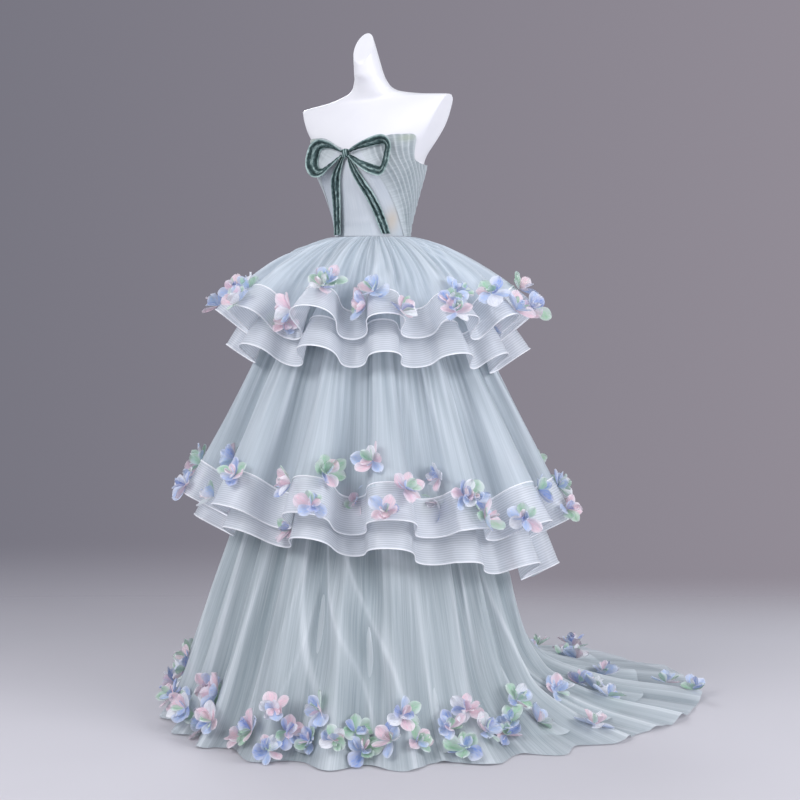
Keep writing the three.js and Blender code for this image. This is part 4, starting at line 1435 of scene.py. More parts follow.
def rim_height(name: str) -> float:
    """Height of a layer's top edge at the waist."""
    return WAIST_HEIGHT - SEAM_GAP - RIM_DROPS[name]


def rim_radii(name: str, slope: float, columns: int) -> tuple[float, float]:
    """Half width and half depth of a layer's top edge.

    Args:
        name: The layer.
        slope: How steeply its wall leans there, in degrees.
        columns: How many flat sides its solid has.

    Returns:
        The two radii.
    """
    under = rim_height(name) - CLOTH
    side = float(DressForm.SECTIONS.straight("side", under))
    move = SEAT_GAP + CLOTH * float(sin_deg(slope)) + side * (1.0 - math.cos(math.pi / columns))
    return side + move, float(DressForm.SECTIONS.straight("back", under)) + move


def drift(terms: Sequence[tuple[float, float, float]], turn: Number) -> Number:
    """Sum of slow changes around the pole, each given by its times, phase and share."""
    return sum(share * sin_deg(times * turn + phase) for times, phase, share in terms)


# Slow changes around the pole: how many times each comes round, its phase and its share.
WAVE_SPACING = ((2, 40, 1.0), (5, 0, 0.5))
WAVE_DEPTH = ((3, 60, 0.22), (4, 0, 0.12))
FOLD_SPACING = ((3, 0, 1.0), (7, 90, 0.6))


@dataclass(frozen=True)
class Waves:
    """The large waves of a flounce's hem.

    Attributes:
        count: How many there are.
        phase: Where they start, in degrees.
        wander: How uneven their spacing is, in degrees.
    """

    count: int
    phase: float
    wander: float


UPPER_WAVES = Waves(13, 20.0, 34.0)
LOWER_WAVES = Waves(14, 75.0, 40.0)


@dataclass
class Seat:
    """Where a flower is sewn on.

    Attributes:
        place: The point of the cloth.
        normal: The cloth's outward normal.
        along: The direction up the cloth.
    """

    place: Array
    normal: Array
    along: Array

    @classmethod
    def on(cls, place: Array, around: Array, up: Array) -> "Seat":
        """The seat at a place, from the cloth's directions around and up there."""
        normal = unit(np.cross(-up, around))
        return cls(place, normal, unit(up - normal * np.dot(up, normal)))


@dataclass
class Flounce:
    """One layer of a flounce: gathered tulle with a strip of horsehair braid at its hem.

    Attributes:
        name: The node of its tulle.
        sides: How many flat sides its solid has.
        braid: Share of its profile where the braid starts.
        profile: Radius and height of the profile's last three control points.
        waves: The waves of its hem.
        swell: How far the waves stand out.
        growth: How late they deepen.
        undercut: How far their sides are pinched.
        rim_slope: How steeply the wall leans at the waist.
        lean: The waves' direction, from upright, at the waist and at the hem.
        longer: How much further out and down the hem lies towards the train.
        strip: Share of its profile where the braid is seen to start.
        finish: Its tulle.
        columns: Points around.
        rows: Rows of its tulle.
        seed: Which creases it has.
    """

    name: str
    sides: int
    braid: float
    profile: tuple[tuple[float, float], ...]
    waves: Waves
    swell: float
    growth: float
    undercut: float
    rim_slope: float
    lean: tuple[float, float]
    longer: tuple[float, float]
    strip: float
    finish: Tulle
    columns: int = 720
    rows: int = 38
    seed: int = 100

    BRAID_ROWS = 11
    EDGE_WIDE, EDGE_THICK = 3.4, 2.2
    SEAT_START = 0.0012  # share of the profile from the seam to the first flower's seat
    # The hem's small ruffles: how many there are and how far they stand out.
    SMALL_RUFFLES, LARGE_RUFFLES = (47, 7.0), (22, 13.0)
    # The tulle's creases: how many there are, how far they stray and how far they stand out.
    GATHERS, DRAPES = (118, 0.9, 1.3), (46, 1.2, 2.2)

    def phase(self, turn: Number) -> Number:
        """Where a wave has got to at an angle, in degrees."""
        waves = self.waves
        return waves.count * turn + waves.phase + waves.wander * drift(WAVE_SPACING, turn)

    def point(self, turn: Number, down: Number) -> Array:
        """Points of the outer surface.

        Args:
            turn: Degrees around the pole.
            down: Share of the way to the hem.

        Returns:
            The points, with three coordinates last.
        """
        turn, down = np.broadcast_arrays(np.asarray(turn, float), np.asarray(down, float))
        side, depth = rim_radii(self.name, self.rim_slope, self.sides)
        phase = self.phase(turn)
        grown = down**self.growth
        pinch = np.degrees(self.undercut * grown * sin_deg(2 * phase) / (2 * self.waves.count))
        long = towards(turn, TRAIN_DIRECTION, 2) * down**3
        swell = self.swell * grown * (1 + drift(WAVE_DEPTH, turn)) * cos_deg(phase)
        lean = mix(self.lean[0], self.lean[1], down)
        out = swell * sin_deg(lean) + self.longer[0] * long
        fall = self.longer[1] * long - swell * cos_deg(lean)
        left = 1 - down
        weights = (left**3, 3 * down * left**2, 3 * down**2 * left, down**3)
        radii = [radius for radius, _ in self.profile]
        heights = [height for _, height in self.profile]

        def bezier(start: float, rest: Sequence[float]) -> Array:
            """Value of the profile whose first control value is start."""
            return sum(weight * value for weight, value in zip(weights, [start, *rest]))

        return around_pole(
            turn + pinch,
            bezier(side, radii) + out,
            bezier(depth, radii) + out,
            bezier(rim_height(self.name), heights) - fall,
        )

    def ruffle(self, turn: Number, down: Number) -> Array:
        """How far the hem's small ruffles stand out, by angle and share of the way down."""
        around = np.asarray(turn, float) / 360.0
        grown = np.asarray(down, float) ** 2.2
        (many, low), (few, high) = self.SMALL_RUFFLES, self.LARGE_RUFFLES
        small = cloth_noise(around, grown, (many, 1), self.waves.count)
        large = cloth_noise(around, grown, (few, 1), self.waves.count + 50)
        return (low * small + high * large) * grown

    def turns(self) -> Array:
        """The angle of each column, from the centre back around."""
        return full_turn(self.columns, BACK)

    def tulle(self) -> tuple[Patch, Patch]:
        """The gathered tulle, with and without its fine creases."""
        turn = self.turns()[None]
        down = np.linspace(0.0, self.strip + 0.008, self.rows)[:, None]
        plain = self.point(turn, down)
        around = turn / 360.0
        start = soft_step(down, 0.0, 0.06)
        gathers = creases(around, down, *self.GATHERS[:2], self.seed)
        drapes = creases(around, down, *self.DRAPES[:2], self.seed + 1)
        soft = cloth_noise(around, down, (90, 3), self.seed + 2)
        fade = 1.0 - soft_step(down, 0.55, self.strip)
        gathered = self.GATHERS[2] * gathers * (1.0 - 0.5 * down)
        draped = self.DRAPES[2] * drapes * soft_step(down, 0.05, 0.4)
        lift = start * fade * (gathered + draped) + start * soft + self.ruffle(turn, down)
        points = plain + grid_normals(plain, ring=True) * lift[..., None]
        # Painted light: the fold value is lighter on the wave crests and crease ridges, painted
        # highlight, and darker in the troughs, painted shade.
        crest = 0.5 + 0.5 * cos_deg(self.phase(turn)) * np.ones_like(down)
        tone = 0.42 + 0.16 * crest * down + fade * (0.18 * gathers + 0.2 * drapes) + 0.12 * soft
        paint = {"fold": np.clip(tone, 0.0, 1.0)}
        return Patch(points, ring=True, paint=paint), Patch(plain, ring=True)

    def build(self) -> None:
        """Makes the tulle, the braid and the braid's two edges."""
        creased, plain = self.tulle()
        obj = piece(f"{self.name}_tulle", [creased], self.finish)
        wear(obj, Slot.TULLE, [self.name])
        cloth(obj, plain)
        turn = self.turns()[None]
        down = np.linspace(self.strip, 1.0, self.BRAID_ROWS)[:, None]
        strip = self.point(turn, down)
        normals = grid_normals(strip, ring=True)
        soft = cloth_noise(turn / 360.0, down, (70, 2), self.seed + 5)
        strip = strip + normals * (0.5 + 0.8 * soft + self.ruffle(turn, down))[..., None]
        patch = Patch(strip, ring=True)
        braid = piece(f"{self.name}_braid_strip", [patch], BRAID)
        wear(braid, Slot.BRAID, [f"{self.name}_braid"])
        edges = []
        for row, other in ((0, 1), (-1, -2)):
            line = strip[row] + normals[row] * 0.6
            inward = unit(strip[other] - strip[row])
            edges.append(edge_cord(line, normals[row], inward, self.EDGE_WIDE, self.EDGE_THICK))
        edging = wear(piece(f"{self.name}_edging", edges, EDGING), Slot.BRAID)
        cloth(braid, patch)

    def seat(self, turn: float, down: float) -> Seat:
        """Where a flower is sewn on, at an angle and a share of the way to the hem."""
        step, drop = 0.4, 0.02
        around = self.point(turn + step, down) - self.point(turn - step, down)
        up = self.point(turn, down - drop) - self.point(turn, down + drop)
        seat = Seat.on(self.point(turn, down), around, up)
        seat.place = seat.place + seat.normal * self.ruffle(turn, down)
        return seat

    def crests(self, half_wave: float) -> Array:
        """Angles where the braid's upper edge stands out furthest, one for each wave."""
        turns = np.arange(self.sides) * 360.0 / self.sides
        return crest_angles(self.point(turns, self.braid + self.SEAT_START), turns, half_wave)


def crest_angles(row: Array, turns: Array, half_wave: float) -> Array:
    """Angles of the highest points of a closed row.

    Args:
        row: Points of the row.
        turns: Their angles.
        half_wave: Half of a wave in degrees.

    Returns:
        The angles, from the wearer's left.
    """
    reach = max(round(half_wave / 360.0 * len(turns)), 1)
    distance = np.hypot(row[:, 0], row[:, 1]) + row[:, 2]
    high = np.ones(len(turns), bool)
    for step in range(1, reach + 1):
        high &= (np.roll(distance, step) <= distance) & (np.roll(distance, -step) < distance)
    return turns[high]


FLOUNCES = (
    Flounce(
        "tier1_outer", 104, 0.79, ((176, 1074), (264, 1000), (330, 902)), UPPER_WAVES,
        48.0, 1.5, 1.05, 22.0, (12.0, 50.0), (6.0, 18.0), 0.81, LIT_UPPER_VEIL, seed=110,
    ),
    Flounce(
        "tier1_inner", 78, 0.76, ((166, 1063), (254, 962), (316, 832)), UPPER_WAVES,
        34.0, 1.6, 0.7, 28.0, (12.0, 54.0), (8.0, 24.0), 0.82, LIT_UPPER_VEIL, seed=120,
    ),
    Flounce(
        "tier2_outer", 112, 0.84, ((186, 1030), (276, 740), (402, 492)), LOWER_WAVES,
        50.0, 1.7, 0.95, 50.0, (20.0, 60.0), (16.0, 70.0), 0.905, SHADED_LOWER_VEIL, rows=60, seed=130,
    ),
    Flounce(
        "tier2_inner", 84, 0.83, ((173, 1027), (261, 732), (388, 446)), LOWER_WAVES,
        36.0, 1.8, 0.6, 55.0, (20.0, 60.0), (14.0, 130.0), 0.91, SHADED_LOWER_VEIL, rows=60, seed=140,
    ),
)


# ---- the long skirt


@dataclass
class LongSkirt:
    """The gathered floor-length skirt with its train, a second layer under it, and a lining.

    Attributes:
        columns: Points around.
        rows: Points from the waist to the hem.
        folds: How many large folds it has.
        fold_phase: Where they start, in degrees.
        fold_wander: How uneven their spacing is, in degrees.
        train: How far the train reaches past the rest of the hem.
        rim_slope: How steeply the wall stands at the waist, in degrees.
        sides: How many flat sides its solid has.
    """

    columns: int = 840
    rows: int = 84
    folds: int = 21
    fold_phase: float = 30.0
    fold_wander: float = 50.0
    train: float = 325.0
    rim_slope: float = 66.0
    sides: int = 100

    # Sections from the waist down: height, radius, its value towards the train, how much of the
    # train lies inside the section, how far it is spread to the front, and the folds' depth.
    SECTIONS = (
        (985, 134, 134, 0, 0, 2.2),
        (600, 256, 234, 0, 6, 12),
        (330, 344, 292, 0, 10, 17),
        (110, 416, 362, 0.05, 16, 21),
        (36, 446, 440, 0.42, 24, 23),
        (3.4, 466, 470, 1, 34, 22),
    )
    LINING_SECTIONS = ((985, 125), (330, 268), (24, 336))
    LINING_SIDES = 28
    # The tulle's creases: how many there are, how far they stray and how far they stand out.
    BROAD_CREASES, FINE_CREASES = (34, 1.6, 6.0), (71, 1.5, 2.0)
    # The second layer: how far it lies inside, the turn of its folds and its share of the length.
    SECOND_LAYER = (38.0, 150.0, 0.985)
    FLOOR_GAP = 1.6  # lowest height of the tulle

    def __post_init__(self) -> None:
        """Works out the table of sections, along the cloth from the waist."""
        side, depth = rim_radii("tier3_skirt", self.rim_slope, self.sides)
        rows = [(rim_height("tier3_skirt"), side, depth, side, depth, 0.0, 0.0, 0.0)]
        rows += [(z, r, r, t, t, *rest) for z, r, t, *rest in self.SECTIONS]
        heights, radii = np.array([[row[0], row[1]] for row in rows]).T
        run = np.concatenate([[0.0], np.cumsum(np.hypot(np.diff(heights), np.diff(radii)))])
        self.length = float(run[-1])
        self.runs = run
        self.table = Table(
            "run height side depth train_side train_depth share spread fold",
            [[at, *row] for at, row in zip(run, rows)],
        )

    def phase(self, turn: Number, shift: float) -> Number:
        """Where a large fold has got to at an angle, in degrees."""
        strays = self.fold_wander * drift(FOLD_SPACING, turn)
        return self.folds * turn + self.fold_phase + shift + strays

    def point(self, turn: Number, run: Number, inset: float = 0.0, shift: float = 0.0) -> Array:
        """Points of the cloth.

        Args:
            turn: Degrees around the pole.
            run: Distance down the cloth from the waist.
            inset: How far the layer lies inside the outer one.
            shift: Turn of its large folds, in degrees of a fold.

        Returns:
            The points, with three coordinates last.
        """
        turn, run = np.broadcast_arrays(np.asarray(turn, float), np.asarray(run, float))
        read = {name: self.table.smooth(name, run) for name in self.table.names[1:]}
        share = np.clip(read["share"], 0.0, 1.0)
        phase = self.phase(turn, shift)
        trainward = towards(turn, TRAIN_DIRECTION, 2.2)
        lying = share * towards(turn, TRAIN_DIRECTION, 5.5)
        flat = np.clip((lying - 0.2) / 0.5, 0.0, 1.0)
        wave = read["fold"] * cos_deg(phase)
        hump = read["fold"] * 0.5 * (1 + cos_deg(phase)) * flat * (1 - 0.55 * share)
        out = lying * self.train + wave * (1 - 0.8 * flat) - inset * np.minimum(run / 120.0, 1.0)
        out = out + read["spread"] * towards(turn, SPREAD_DIRECTION, 2)
        return around_pole(
            turn,
            mix(read["side"], read["train_side"], trainward) + out,
            mix(read["depth"], read["train_depth"], trainward) + out,
            read["height"] + hump,
        )

    def layer(self, inset: float, shift: float, end: float, seed: int) -> tuple[Patch, Patch]:
        """One layer of tulle, with and without its fine creases.

        Args:
            inset: How far it lies inside the outer one.
            shift: Turn of its large folds.
            end: Share of the full length that it has.
            seed: Which creases it has.

        Returns:
            The creased and the plain patch.
        """
        turn = full_turn(self.columns, BACK)[None]
        share = np.linspace(0.0, 1.0, self.rows)[:, None] ** 0.9
        run = share * self.length * end
        plain = self.point(turn, run, inset, shift)
        around = turn / 360.0
        tall = self.table.smooth("height", run)
        slack = soft_step(share, 0.0, 0.12)
        broad = creases(around, share, *self.BROAD_CREASES[:2], seed)
        fine = creases(around, share, *self.FINE_CREASES[:2], seed + 1)
        soft = cloth_noise(around, share, (60, 4), seed + 2)
        patchy = 0.6 + 0.6 * cloth_noise(around, share, (31, 2), seed + 3)
        crushed = cloth_noise(around, share, (150, 14), seed + 4)
        crushed = crushed * towards(turn, TRAIN_DIRECTION, 5.0) * soft_step(share, 0.8, 0.95)
        folded = self.BROAD_CREASES[2] * broad * soft_step(share, 0.1, 0.7)
        folded = folded + self.FINE_CREASES[2] * fine
        lift = slack * patchy * folded + 1.5 * slack * soft + 5.0 * crushed
        points = plain + grid_normals(plain, ring=True) * lift[..., None]
        lowest = self.FLOOR_GAP + 0.8 * (1 + soft) * (tall < 40)
        points[..., 2] = np.maximum(points[..., 2], lowest)
        phase = self.phase(turn, shift)
        # Painted light: the fold value is lighter on the fold crests and the crumples of the
        # train, painted highlight, and darker in the troughs, painted shade. Along the crease
        # edges it is lighter and denser, partly for the net seen edge-on and partly painted
        # highlight.
        crest = 0.5 + 0.5 * cos_deg(phase) * np.ones_like(share)
        edge = soft_step(broad, 0.55, 0.95) + 0.5 * soft_step(fine, 0.7, 1.0)
        tone = 0.3 + 0.22 * crest * slack + 0.1 * broad + 0.36 * patchy * edge
        paint = {"fold": np.clip(tone + 0.1 * soft + 0.3 * crushed, 0.0, 1.0)}
        return Patch(points, ring=True, paint=paint), Patch(plain, ring=True)

    def lining(self) -> Patch:
        """The smooth lining inside the skirt."""
        side, depth = rim_radii("underskirt", self.rim_slope, self.LINING_SIDES)
        heights = [rim_height("underskirt")] + [height for height, _ in self.LINING_SECTIONS]
        sides = [side] + [radius for _, radius in self.LINING_SECTIONS]
        depths = [depth] + [radius for _, radius in self.LINING_SECTIONS]
        table = Table("height side depth", list(zip(heights, sides, depths))[::-1])
        height = np.linspace(heights[0], heights[-1], 60)[:, None]
        turn = full_turn(240, BACK)[None]
        share = (heights[0] - height) / (heights[0] - heights[-1])
        fold = creases(turn / 360.0, share, 26, 1.0, 71)
        out = 4.0 * fold * soft_step(share, 0.2, 1.0) - 3.0 * soft_step(share, 0.1, 0.5)
        side, depth = (table.straight(name, height) + out for name in ("side", "depth"))
        points = around_pole(turn, side, depth, height)
        # Painted light: lighter on the crease ridges, painted highlight, and darker in their
        # troughs, painted shade.
        paint = {"fold": np.clip(0.5 + 0.3 * fold, 0, 1), "blush": np.zeros_like(fold)}
        return Patch(points, ring=True, paint=paint)

    def build(self) -> None:
        """Makes the two layers of tulle and the lining."""
        creased, plain = self.layer(0.0, 0.0, 1.0, 201)
        outer = wear(piece("long_skirt_tulle", [creased], TULLE), Slot.TULLE, ["tier3_skirt"])
        cloth(outer, plain)
        creased, plain = self.layer(*self.SECOND_LAYER, 221)
        inner = wear(piece("long_skirt_second_tulle", [creased], TULLE), Slot.TULLE)
        cloth(inner, plain)
        patch = self.lining()
        lining = wear(piece("underskirt_lining", [patch], LINING), Slot.LINING, ["underskirt"])
        cloth(lining, patch)

    def seat(self, turn: float, run: float) -> Seat:
        """Where a flower is sewn on, at an angle and a distance down the cloth."""
        step, drop = 0.6, 6.0
        around = self.point(turn + step, run) - self.point(turn - step, run)
        up = self.point(turn, run - drop) - self.point(turn, min(run + drop, self.length))
        return Seat.on(self.point(turn, run), around, up)

    def crests(self, section: int, half_wave: float) -> Array:
        """Angles where a section stands out furthest, one for each fold."""
        turns = np.arange(self.sides) * 360.0 / self.sides
        return crest_angles(self.point(turns, self.runs[section]), turns, half_wave)


# ---- the flowers


class Dye(Enum):
    """Colours of the petals."""

    PINK = "#edc2d0"
    BLUE = "#5f86d2"
    GREEN = "#86c193"
    WHITE = "#eceef5"
    SKY = "#9dbaea"


@dataclass
class Bloom:
    """An organza flower: a ring of wide open petals and a few that stand up in the middle.

    Attributes:
        radius: Length of an outer petal.
        outer: Petals in the outer layer.
        inner: Petals in the inner layer.
        seed: Which petals it has.
    """

    radius: float = 47.0
    outer: int = 6
    inner: int = 4
    seed: int = 0

    LENGTH_STEPS, WIDTH_STEPS = 9, 7
    # For the outer and the inner layer: the petals' share of the radius, and how far they
    # stand up, in degrees.
    LAYERS = ((1.0, (4.0, 38.0)), (0.72, (35.0, 80.0)))
    HUES = (Dye.PINK, Dye.BLUE, Dye.GREEN, Dye.WHITE, Dye.SKY, Dye.PINK, Dye.GREEN, Dye.SKY)

    def petals(self) -> tuple[Array, Array]:
        """The petals around the origin, with their middle towards +Z.

        Returns:
            Points as a stack of grids, and their colours.
        """
        rng = np.random.default_rng(self.seed)
        s = np.linspace(0.0, 1.0, self.LENGTH_STEPS)[:, None]
        t = np.linspace(-1.0, 1.0, self.WIDTH_STEPS)[None]
        grids, dyes = [], []
        white = np.array(tint(Dye.WHITE.value))
        start = rng.uniform(0.0, 360.0)
        for layer, count in enumerate((self.outer, self.inner)):
            size, raised = self.LAYERS[layer]
            for k in range(count):
                length = self.radius * size * rng.uniform(0.8, 1.12)
                wide = length * rng.uniform(0.5, 0.78)
                lift = rng.uniform(*raised)
                twist = rng.uniform(-38.0, 38.0)
                azimuth = start + 360.0 * (k + 0.5 * layer) / count + rng.uniform(-16.0, 16.0)
                grown = np.clip(s * 0.95 + 0.02, 0, 1) ** 1.25
                half = 0.5 * wide * np.sin(math.pi * grown) ** 0.75
                x = length * (s - 0.1 * s**3)
                y = t * half
                cup = rng.uniform(0.3, 0.75) * (y**2) / wide
                curl = length * rng.uniform(-0.05, 0.24) * s**2
                tall, beat = rng.uniform(1.0, 2.6), rng.uniform(3.5, 6.5)
                z = cup + curl + tall * s * np.sin(beat * t + rng.uniform(0, 6))
                y, z = turned(y, z, twist)
                x, z = turned(x, z, lift)
                x, y = turned(x, y, azimuth)
                grids.append(np.stack([x, y, z + 2.0 + 3.0 * layer], axis=-1))
                hue = np.array(tint(self.HUES[rng.integers(len(self.HUES))].value))
                centre = rng.uniform(-0.5, 0.5)
                strength = np.exp(-(((t - centre) / 0.95) ** 2))
                strength = strength * (1.0 - 0.55 * soft_step(s, 0.75, 1.0))
                dyes.append(mix(white, hue, (0.15 + 0.85 * strength)[..., None]))
        return np.stack(grids), np.stack(dyes)

    def on(self, seat: Seat, turn: float) -> tuple[Array, Array]:
        """The petals, sewn to the cloth.

        Args:
            seat: Where.
            turn: Degrees by which the flower is turned about its middle.

        Returns:
            Points and colours.
        """
        points, dyes = self.petals()
        across = np.cross(seat.normal, seat.along)
        first = seat.along * cos_deg(turn) + across * sin_deg(turn)
        second = np.cross(seat.normal, first)
        basis = np.stack([first, second, seat.normal])
        return points @ basis + seat.place + seat.normal, dyes


@dataclass(frozen=True)
class Scatter:
    """Single flowers sewn on between the pairs.

    Attributes:
        count: How many there are all round.
        high: Share of the way down of the highest one.
        low: Share of the way down of the lowest one.
        seed: Which places they have.
    """

    count: int
    high: float
    low: float
    seed: int

    def places(self) -> list[tuple[float, float]]:
        """The angle and the share of the way down of each flower."""
        rng = np.random.default_rng(self.seed)
        turns = 360.0 * (np.arange(self.count) + rng.uniform(-0.4, 0.4, self.count)) / self.count
        return list(zip(turns, rng.uniform(self.high, self.low, self.count)))


@dataclass
class FlowerTrim:
    """All the flowers, sewn in clusters to the hems.

    Attributes:
        flounces: The flounces by name.
        skirt: The long skirt.
        pair_spacing: Between the middles of two flowers on one crest.
        sway: Degrees by which the two stand to either side of the crest.
    """

    flounces: dict[str, Flounce]
    skirt: LongSkirt
    pair_spacing: float = 54.0
    sway: float = 2.6

    # Which crests carry a pair, counted from the wearer's left.
    UPPER_CRESTS = (0, 1, 3, 5, 7, 8, 9, 10, 11, 12)
    LOWER_CRESTS = (0, 1, 3, 5, 7, 8, 9, 10, 11, 12, 13)
    HEM_CRESTS = (8, 10, 11, 12, 13, 14, 15, 16, 17, 18, 19)
    TRAIN_CRESTS = (1, 3, 4, 5)

    UPPER_SINGLES = Scatter(13, 0.76, 0.93, 5)
    LOWER_SINGLES = Scatter(17, 0.8, 0.95, 6)
    UNDER_SINGLES = Scatter(11, 0.86, 0.96, 7)
    HEM_SINGLES = Scatter(30, 0.955, 0.992, 8)
    SKIRT_SINGLES = Scatter(13, 0.88, 0.95, 9)

    SWAY_BEAT = 2.4  # by which the sway changes from pair to pair
    BRAID_LOW = 0.88  # share of the braid above a pair's lower flower
    HALF_FOLD = 6.0  # half of the skirt's folds, in degrees
    LOWEST = 1.5  # lowest height of a petal
    RADII = (42.0, 50.0)  # lengths of the outer petals

    def pairs(
        self,
        layer: Union[Flounce, LongSkirt],
        crests: Array,
        span: tuple[float, float],
        low: float,
    ) -> list[Seat]:
        """Seats of the pairs on a layer, the lower flower of each pair first.

        Args:
            layer: What they are sewn to.
            crests: The angle of each pair's crest.
            span: Where the stretch of cloth that carries them starts and ends.
            low: Share of that stretch above the lower flower.

        Returns:
            Two seats for each crest.
        """
        start, end = span
        seats = []
        for number, turn in enumerate(crests):
            run = np.linalg.norm(layer.point(turn, start) - layer.point(turn, end))
            side = 1.0 if number % 2 else -1.0
            aside = self.sway * side * (0.5 + 0.5 * math.sin(self.SWAY_BEAT * number) ** 2)
            shares = (low, low - self.pair_spacing / run)
            for angle, share in zip((turn + aside, turn - aside), shares):
                seats.append(layer.seat(angle, mix(start, end, share)))
        return seats

    def flounce_pairs(self, name: str, half_wave: float, chosen: Sequence[int]) -> list[Seat]:
        """Seats of the pairs on a flounce's braid."""
        layer = self.flounces[name]
        crests = layer.crests(half_wave)[list(chosen)]
        return self.pairs(layer, crests, (layer.braid + layer.SEAT_START, 1.0), self.BRAID_LOW)

    def skirt_pairs(self, section: int, low: float, chosen: Sequence[int]) -> list[Seat]:
        """Seats of the pairs on the long skirt, under one of its sections."""
        start, end = self.skirt.runs[section : section + 2]
        crests = self.skirt.crests(section, self.HALF_FOLD)[list(chosen)]
        return self.pairs(self.skirt, crests, (start, end), low)

    def flounce_singles(self, name: str, scatter: Scatter) -> list[Seat]:
        """Seats of the single flowers on a flounce."""
        layer = self.flounces[name]
        return [layer.seat(turn, down) for turn, down in scatter.places()]

    def skirt_singles(self, scatter: Scatter) -> list[Seat]:
        """Seats of the single flowers on the long skirt."""
        length = self.skirt.length
        return [self.skirt.seat(turn, down * length) for turn, down in scatter.places()]

    def ring(self, name: str, seats: Sequence[Seat], nodes: Sequence[str], seed: int) -> None:
        """Makes the flowers of one ring as one mesh.

        Args:
            name: The piece's name.
            seats: Where they are sewn.
            nodes: The solids that they stand for.
            seed: Which petals they have.
        """
        rng = np.random.default_rng(seed)
        made = []
        for k, seat in enumerate(seats):
            bloom = Bloom(radius=rng.uniform(*self.RADII), seed=seed * 100 + k)
            made.append(bloom.on(seat, rng.uniform(0, 360)))
        points = np.concatenate([points for points, _ in made])
        dyes = np.concatenate([dyes for _, dyes in made])
        points[..., 2] = np.maximum(points[..., 2], self.LOWEST)
        obj = piece(name, [Patch(points, paint={"dye": dyes})], ORGANZA)
        wear(obj, Slot.ORGANZA, nodes)

    def build(self) -> None:
        """Makes the four rings of flowers."""
        rings = (
            (
                "tier1",
                self.flounce_pairs("tier1_outer", 10.0, self.UPPER_CRESTS),
                self.flounce_singles("tier1_outer", self.UPPER_SINGLES),
            ),
            (
                "tier2",
                self.flounce_pairs("tier2_outer", 9.0, self.LOWER_CRESTS),
                self.flounce_singles("tier2_outer", self.LOWER_SINGLES)
                + self.flounce_singles("tier2_inner", self.UNDER_SINGLES),
            ),
            (
                "tier3",
                self.skirt_pairs(4, 0.78, self.HEM_CRESTS),
                self.skirt_singles(self.HEM_SINGLES),
            ),
            (
                "train",
                self.skirt_pairs(5, 0.9, self.TRAIN_CRESTS),
                self.skirt_singles(self.SKIRT_SINGLES),
            ),
        )
        for number, (name, pairs, singles) in enumerate(rings):
            nodes = [f"flowers_{name}_{k + 1}" for k in range(len(pairs) // 2)]
            self.ring(f"organza_flowers_{name}", pairs + singles, nodes, 31 + number)


# ---- the studio


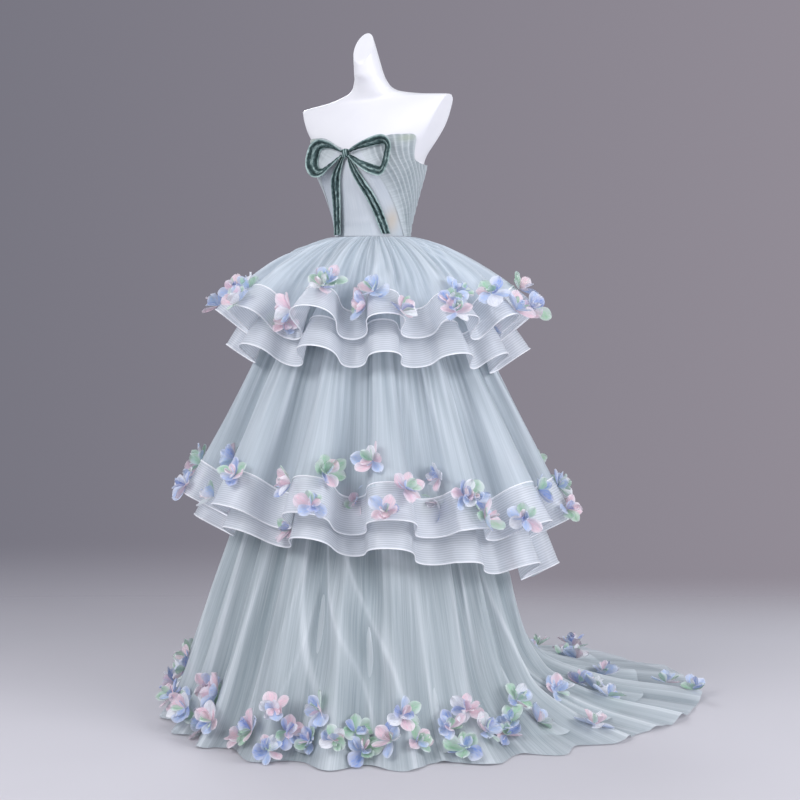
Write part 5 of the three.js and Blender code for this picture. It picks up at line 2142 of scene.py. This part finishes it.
@dataclass
class Studio:
    """A pale floor, soft lights and the camera.

    Attributes:
        distance: From the camera to the form's axis, in metres.
        azimuth: Degrees from the front towards the wearer's left.
        height: Height of the camera in metres.
        pitch: Degrees that it looks down.
        yaw: Degrees that it looks to the right of the axis.
        lens: Focal length for a sensor 36 mm wide.
    """

    distance: float = 3.5
    azimuth: float = 30.0
    height: float = 1.0
    pitch: float = 4.635
    yaw: float = 1.03
    lens: float = 67.7

    AIM = (0.05, 0.05, 0.85)  # what the lights face, in metres
    FLOOR_LEVEL = -0.5  # just under the dress, in millimetres

    def camera(self) -> None:
        """Makes the camera and puts it in the scene."""
        data = bpy.data.cameras.new("studio_camera")
        data.lens = self.lens
        data.sensor_width = 36.0
        data.clip_end = 60.0
        obj = bpy.data.objects.new("studio_camera", data)
        turn = math.radians(self.azimuth)
        aside, before = self.distance * math.sin(turn), -self.distance * math.cos(turn)
        obj.location = (aside, before, self.height)
        obj.rotation_euler = (
            math.radians(90.0 - self.pitch), 0.0, math.radians(self.azimuth - self.yaw),
        )
        bpy.context.scene.collection.objects.link(obj)
        bpy.context.scene.camera = obj

    def light(
        self,
        name: str,
        place: tuple[float, float, float],
        size: float,
        power: float,
        colour: str,
    ) -> None:
        """Adds a soft light that faces the dress.

        Args:
            name: Its name.
            place: Where it stands, in metres.
            size: Its width in metres.
            power: Its power in watts.
            colour: Its colour.
        """
        data = bpy.data.lights.new(name, "AREA")
        data.shape = "DISK"
        data.size = size
        data.energy = power
        data.color = tint(colour)[:3]
        obj = bpy.data.objects.new(name, data)
        obj.location = place
        aim = Vector(self.AIM) - Vector(place)
        obj.rotation_euler = aim.to_track_quat("-Z", "Y").to_euler()
        bpy.context.scene.collection.objects.link(obj)

    def floor(self) -> None:
        """A round pale floor that fades into the backdrop."""
        radii = np.concatenate([[1.0], np.linspace(250.0, 3200.0, 24)])[:, None]
        points = around_pole(full_turn(96), radii, radii, self.FLOOR_LEVEL)
        obj = piece("studio_floor", [Patch(points, ring=True)], StudioFloor())
        obj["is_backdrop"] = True

    def world(self) -> None:
        """A grey backdrop, and a little light from all round."""
        world = bpy.data.worlds.new("studio_backdrop")
        world.use_nodes = True
        tree = world.node_tree
        tree.nodes.clear()
        direction = add_node(tree, "TexCoord").outputs["Generated"]
        turn = math.radians(self.azimuth)
        across = add_node(
            tree,
            "VectorMath",
            {0: direction, 1: (math.cos(turn), math.sin(turn), 0.0)},
            operation="DOT_PRODUCT",
        ).outputs["Value"]
        level = add_node(
            tree, "MapRange", {"Value": across, "From Min": -0.28, "From Max": 0.28}
        ).outputs[0]
        backdrop = add_node(
            tree,
            "Mix",
            {0: level, MIX_A: tint("#767580"), MIX_B: tint("#928c96")},
            data_type="RGBA",
        ).outputs[MIX_COLOUR]
        seen = add_node(tree, "Background", {"Color": backdrop, "Strength": 1.0}).outputs[0]
        fill = add_node(
            tree, "Background", {"Color": tint("#e9ecf4"), "Strength": 0.5}
        ).outputs[0]
        path = add_node(tree, "LightPath").outputs["Is Camera Ray"]
        both = add_node(tree, "MixShader", {0: path, 1: fill, 2: seen}).outputs[0]
        add_node(tree, "OutputWorld", {"Surface": both})
        bpy.context.scene.world = world

    def build(self) -> None:
        """Makes everything around the dress."""
        self.camera()
        self.floor()
        self.world()
        self.light("key_softbox", (-0.9, -3.4, 2.9), 2.2, 92.0, "#fdfcff")
        self.light("side_softbox", (3.5, -0.6, 2.0), 2.2, 85.0, "#fbfbff")
        self.light("back_softbox", (-2.6, 2.4, 2.8), 1.8, 46.0, "#f4f6ff")
        scene = bpy.context.scene
        scene.view_settings.view_transform = "Standard"
        scene.cycles.transparent_max_bounces = 20


@dataclass(frozen=True)
class StudioFloor(Finish):
    """Matt pale vinyl floor that runs out into the backdrop, further on the left."""

    name: str = "matt_vinyl_floor"

    # Directions over the floor: away from the viewer, and to the viewer's right. For the left
    # and the right: how deep the floor starts to fade, and where it is gone, in metres.
    AWAY, RIGHTWARD = (-0.5, 0.866, 0.0), (0.866, 0.5, 0.0)
    FADES = ((-0.5, 2.3), (0.55, 1.55))

    def surface(self, tree: Tree) -> dict[str, object]:
        """Adds this finish's nodes and returns the shader's inputs."""
        place = add_node(tree, "TexCoord").outputs["Object"]
        depth, aside = (
            add_node(
                tree, "VectorMath", {0: place, 1: direction}, operation="DOT_PRODUCT"
            ).outputs["Value"]
            for direction in (self.AWAY, self.RIGHTWARD)
        )
        left, right = (
            add_node(
                tree,
                "MapRange",
                {"Value": depth, "From Min": near, "From Max": far, "To Min": 1.0, "To Max": 0.0},
                interpolation_type="SMOOTHSTEP",
            ).outputs[0]
            for near, far in self.FADES
        )
        side = add_node(
            tree, "MapRange", {"Value": aside, "From Min": -0.5, "From Max": 0.7}
        ).outputs[0]
        cover = add_node(tree, "Mix", {0: side, 2: left, 3: right}, data_type="FLOAT").outputs[0]
        cloud = add_node(
            tree, "TexNoise", {"Vector": place, "Scale": 2.0, "Detail": 2.0}
        ).outputs[0]
        colour = add_node(
            tree,
            "Mix",
            {0: cloud, MIX_A: tint("#cfcdd2"), MIX_B: tint("#c9c7cd")},
            data_type="RGBA",
        ).outputs[MIX_COLOUR]
        return {
            "Base Color": colour,
            "Roughness": 0.8,
            "Specular IOR Level": 0.2,
            "Alpha": cover,
        }


# ---- putting it together


def main() -> None:
    """Builds the studio, the form and the dress."""
    logging.basicConfig(level=logging.INFO, format="%(name)s: %(message)s")
    Studio().build()
    form = DressForm()
    form.build()
    bodice = Bodice(form)
    bodice.build()
    RibbonBow(bodice).build()
    for layer in FLOUNCES:
        layer.build()
    skirt = LongSkirt()
    skirt.build()
    FlowerTrim({layer.name: layer for layer in FLOUNCES}, skirt).build()
    boxes = {"cad": CAD_BOX, "visual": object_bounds()}
    {name: [list(corner) for corner in box] for name, box in boxes.items()}


if __name__ == "__main__":
    main()
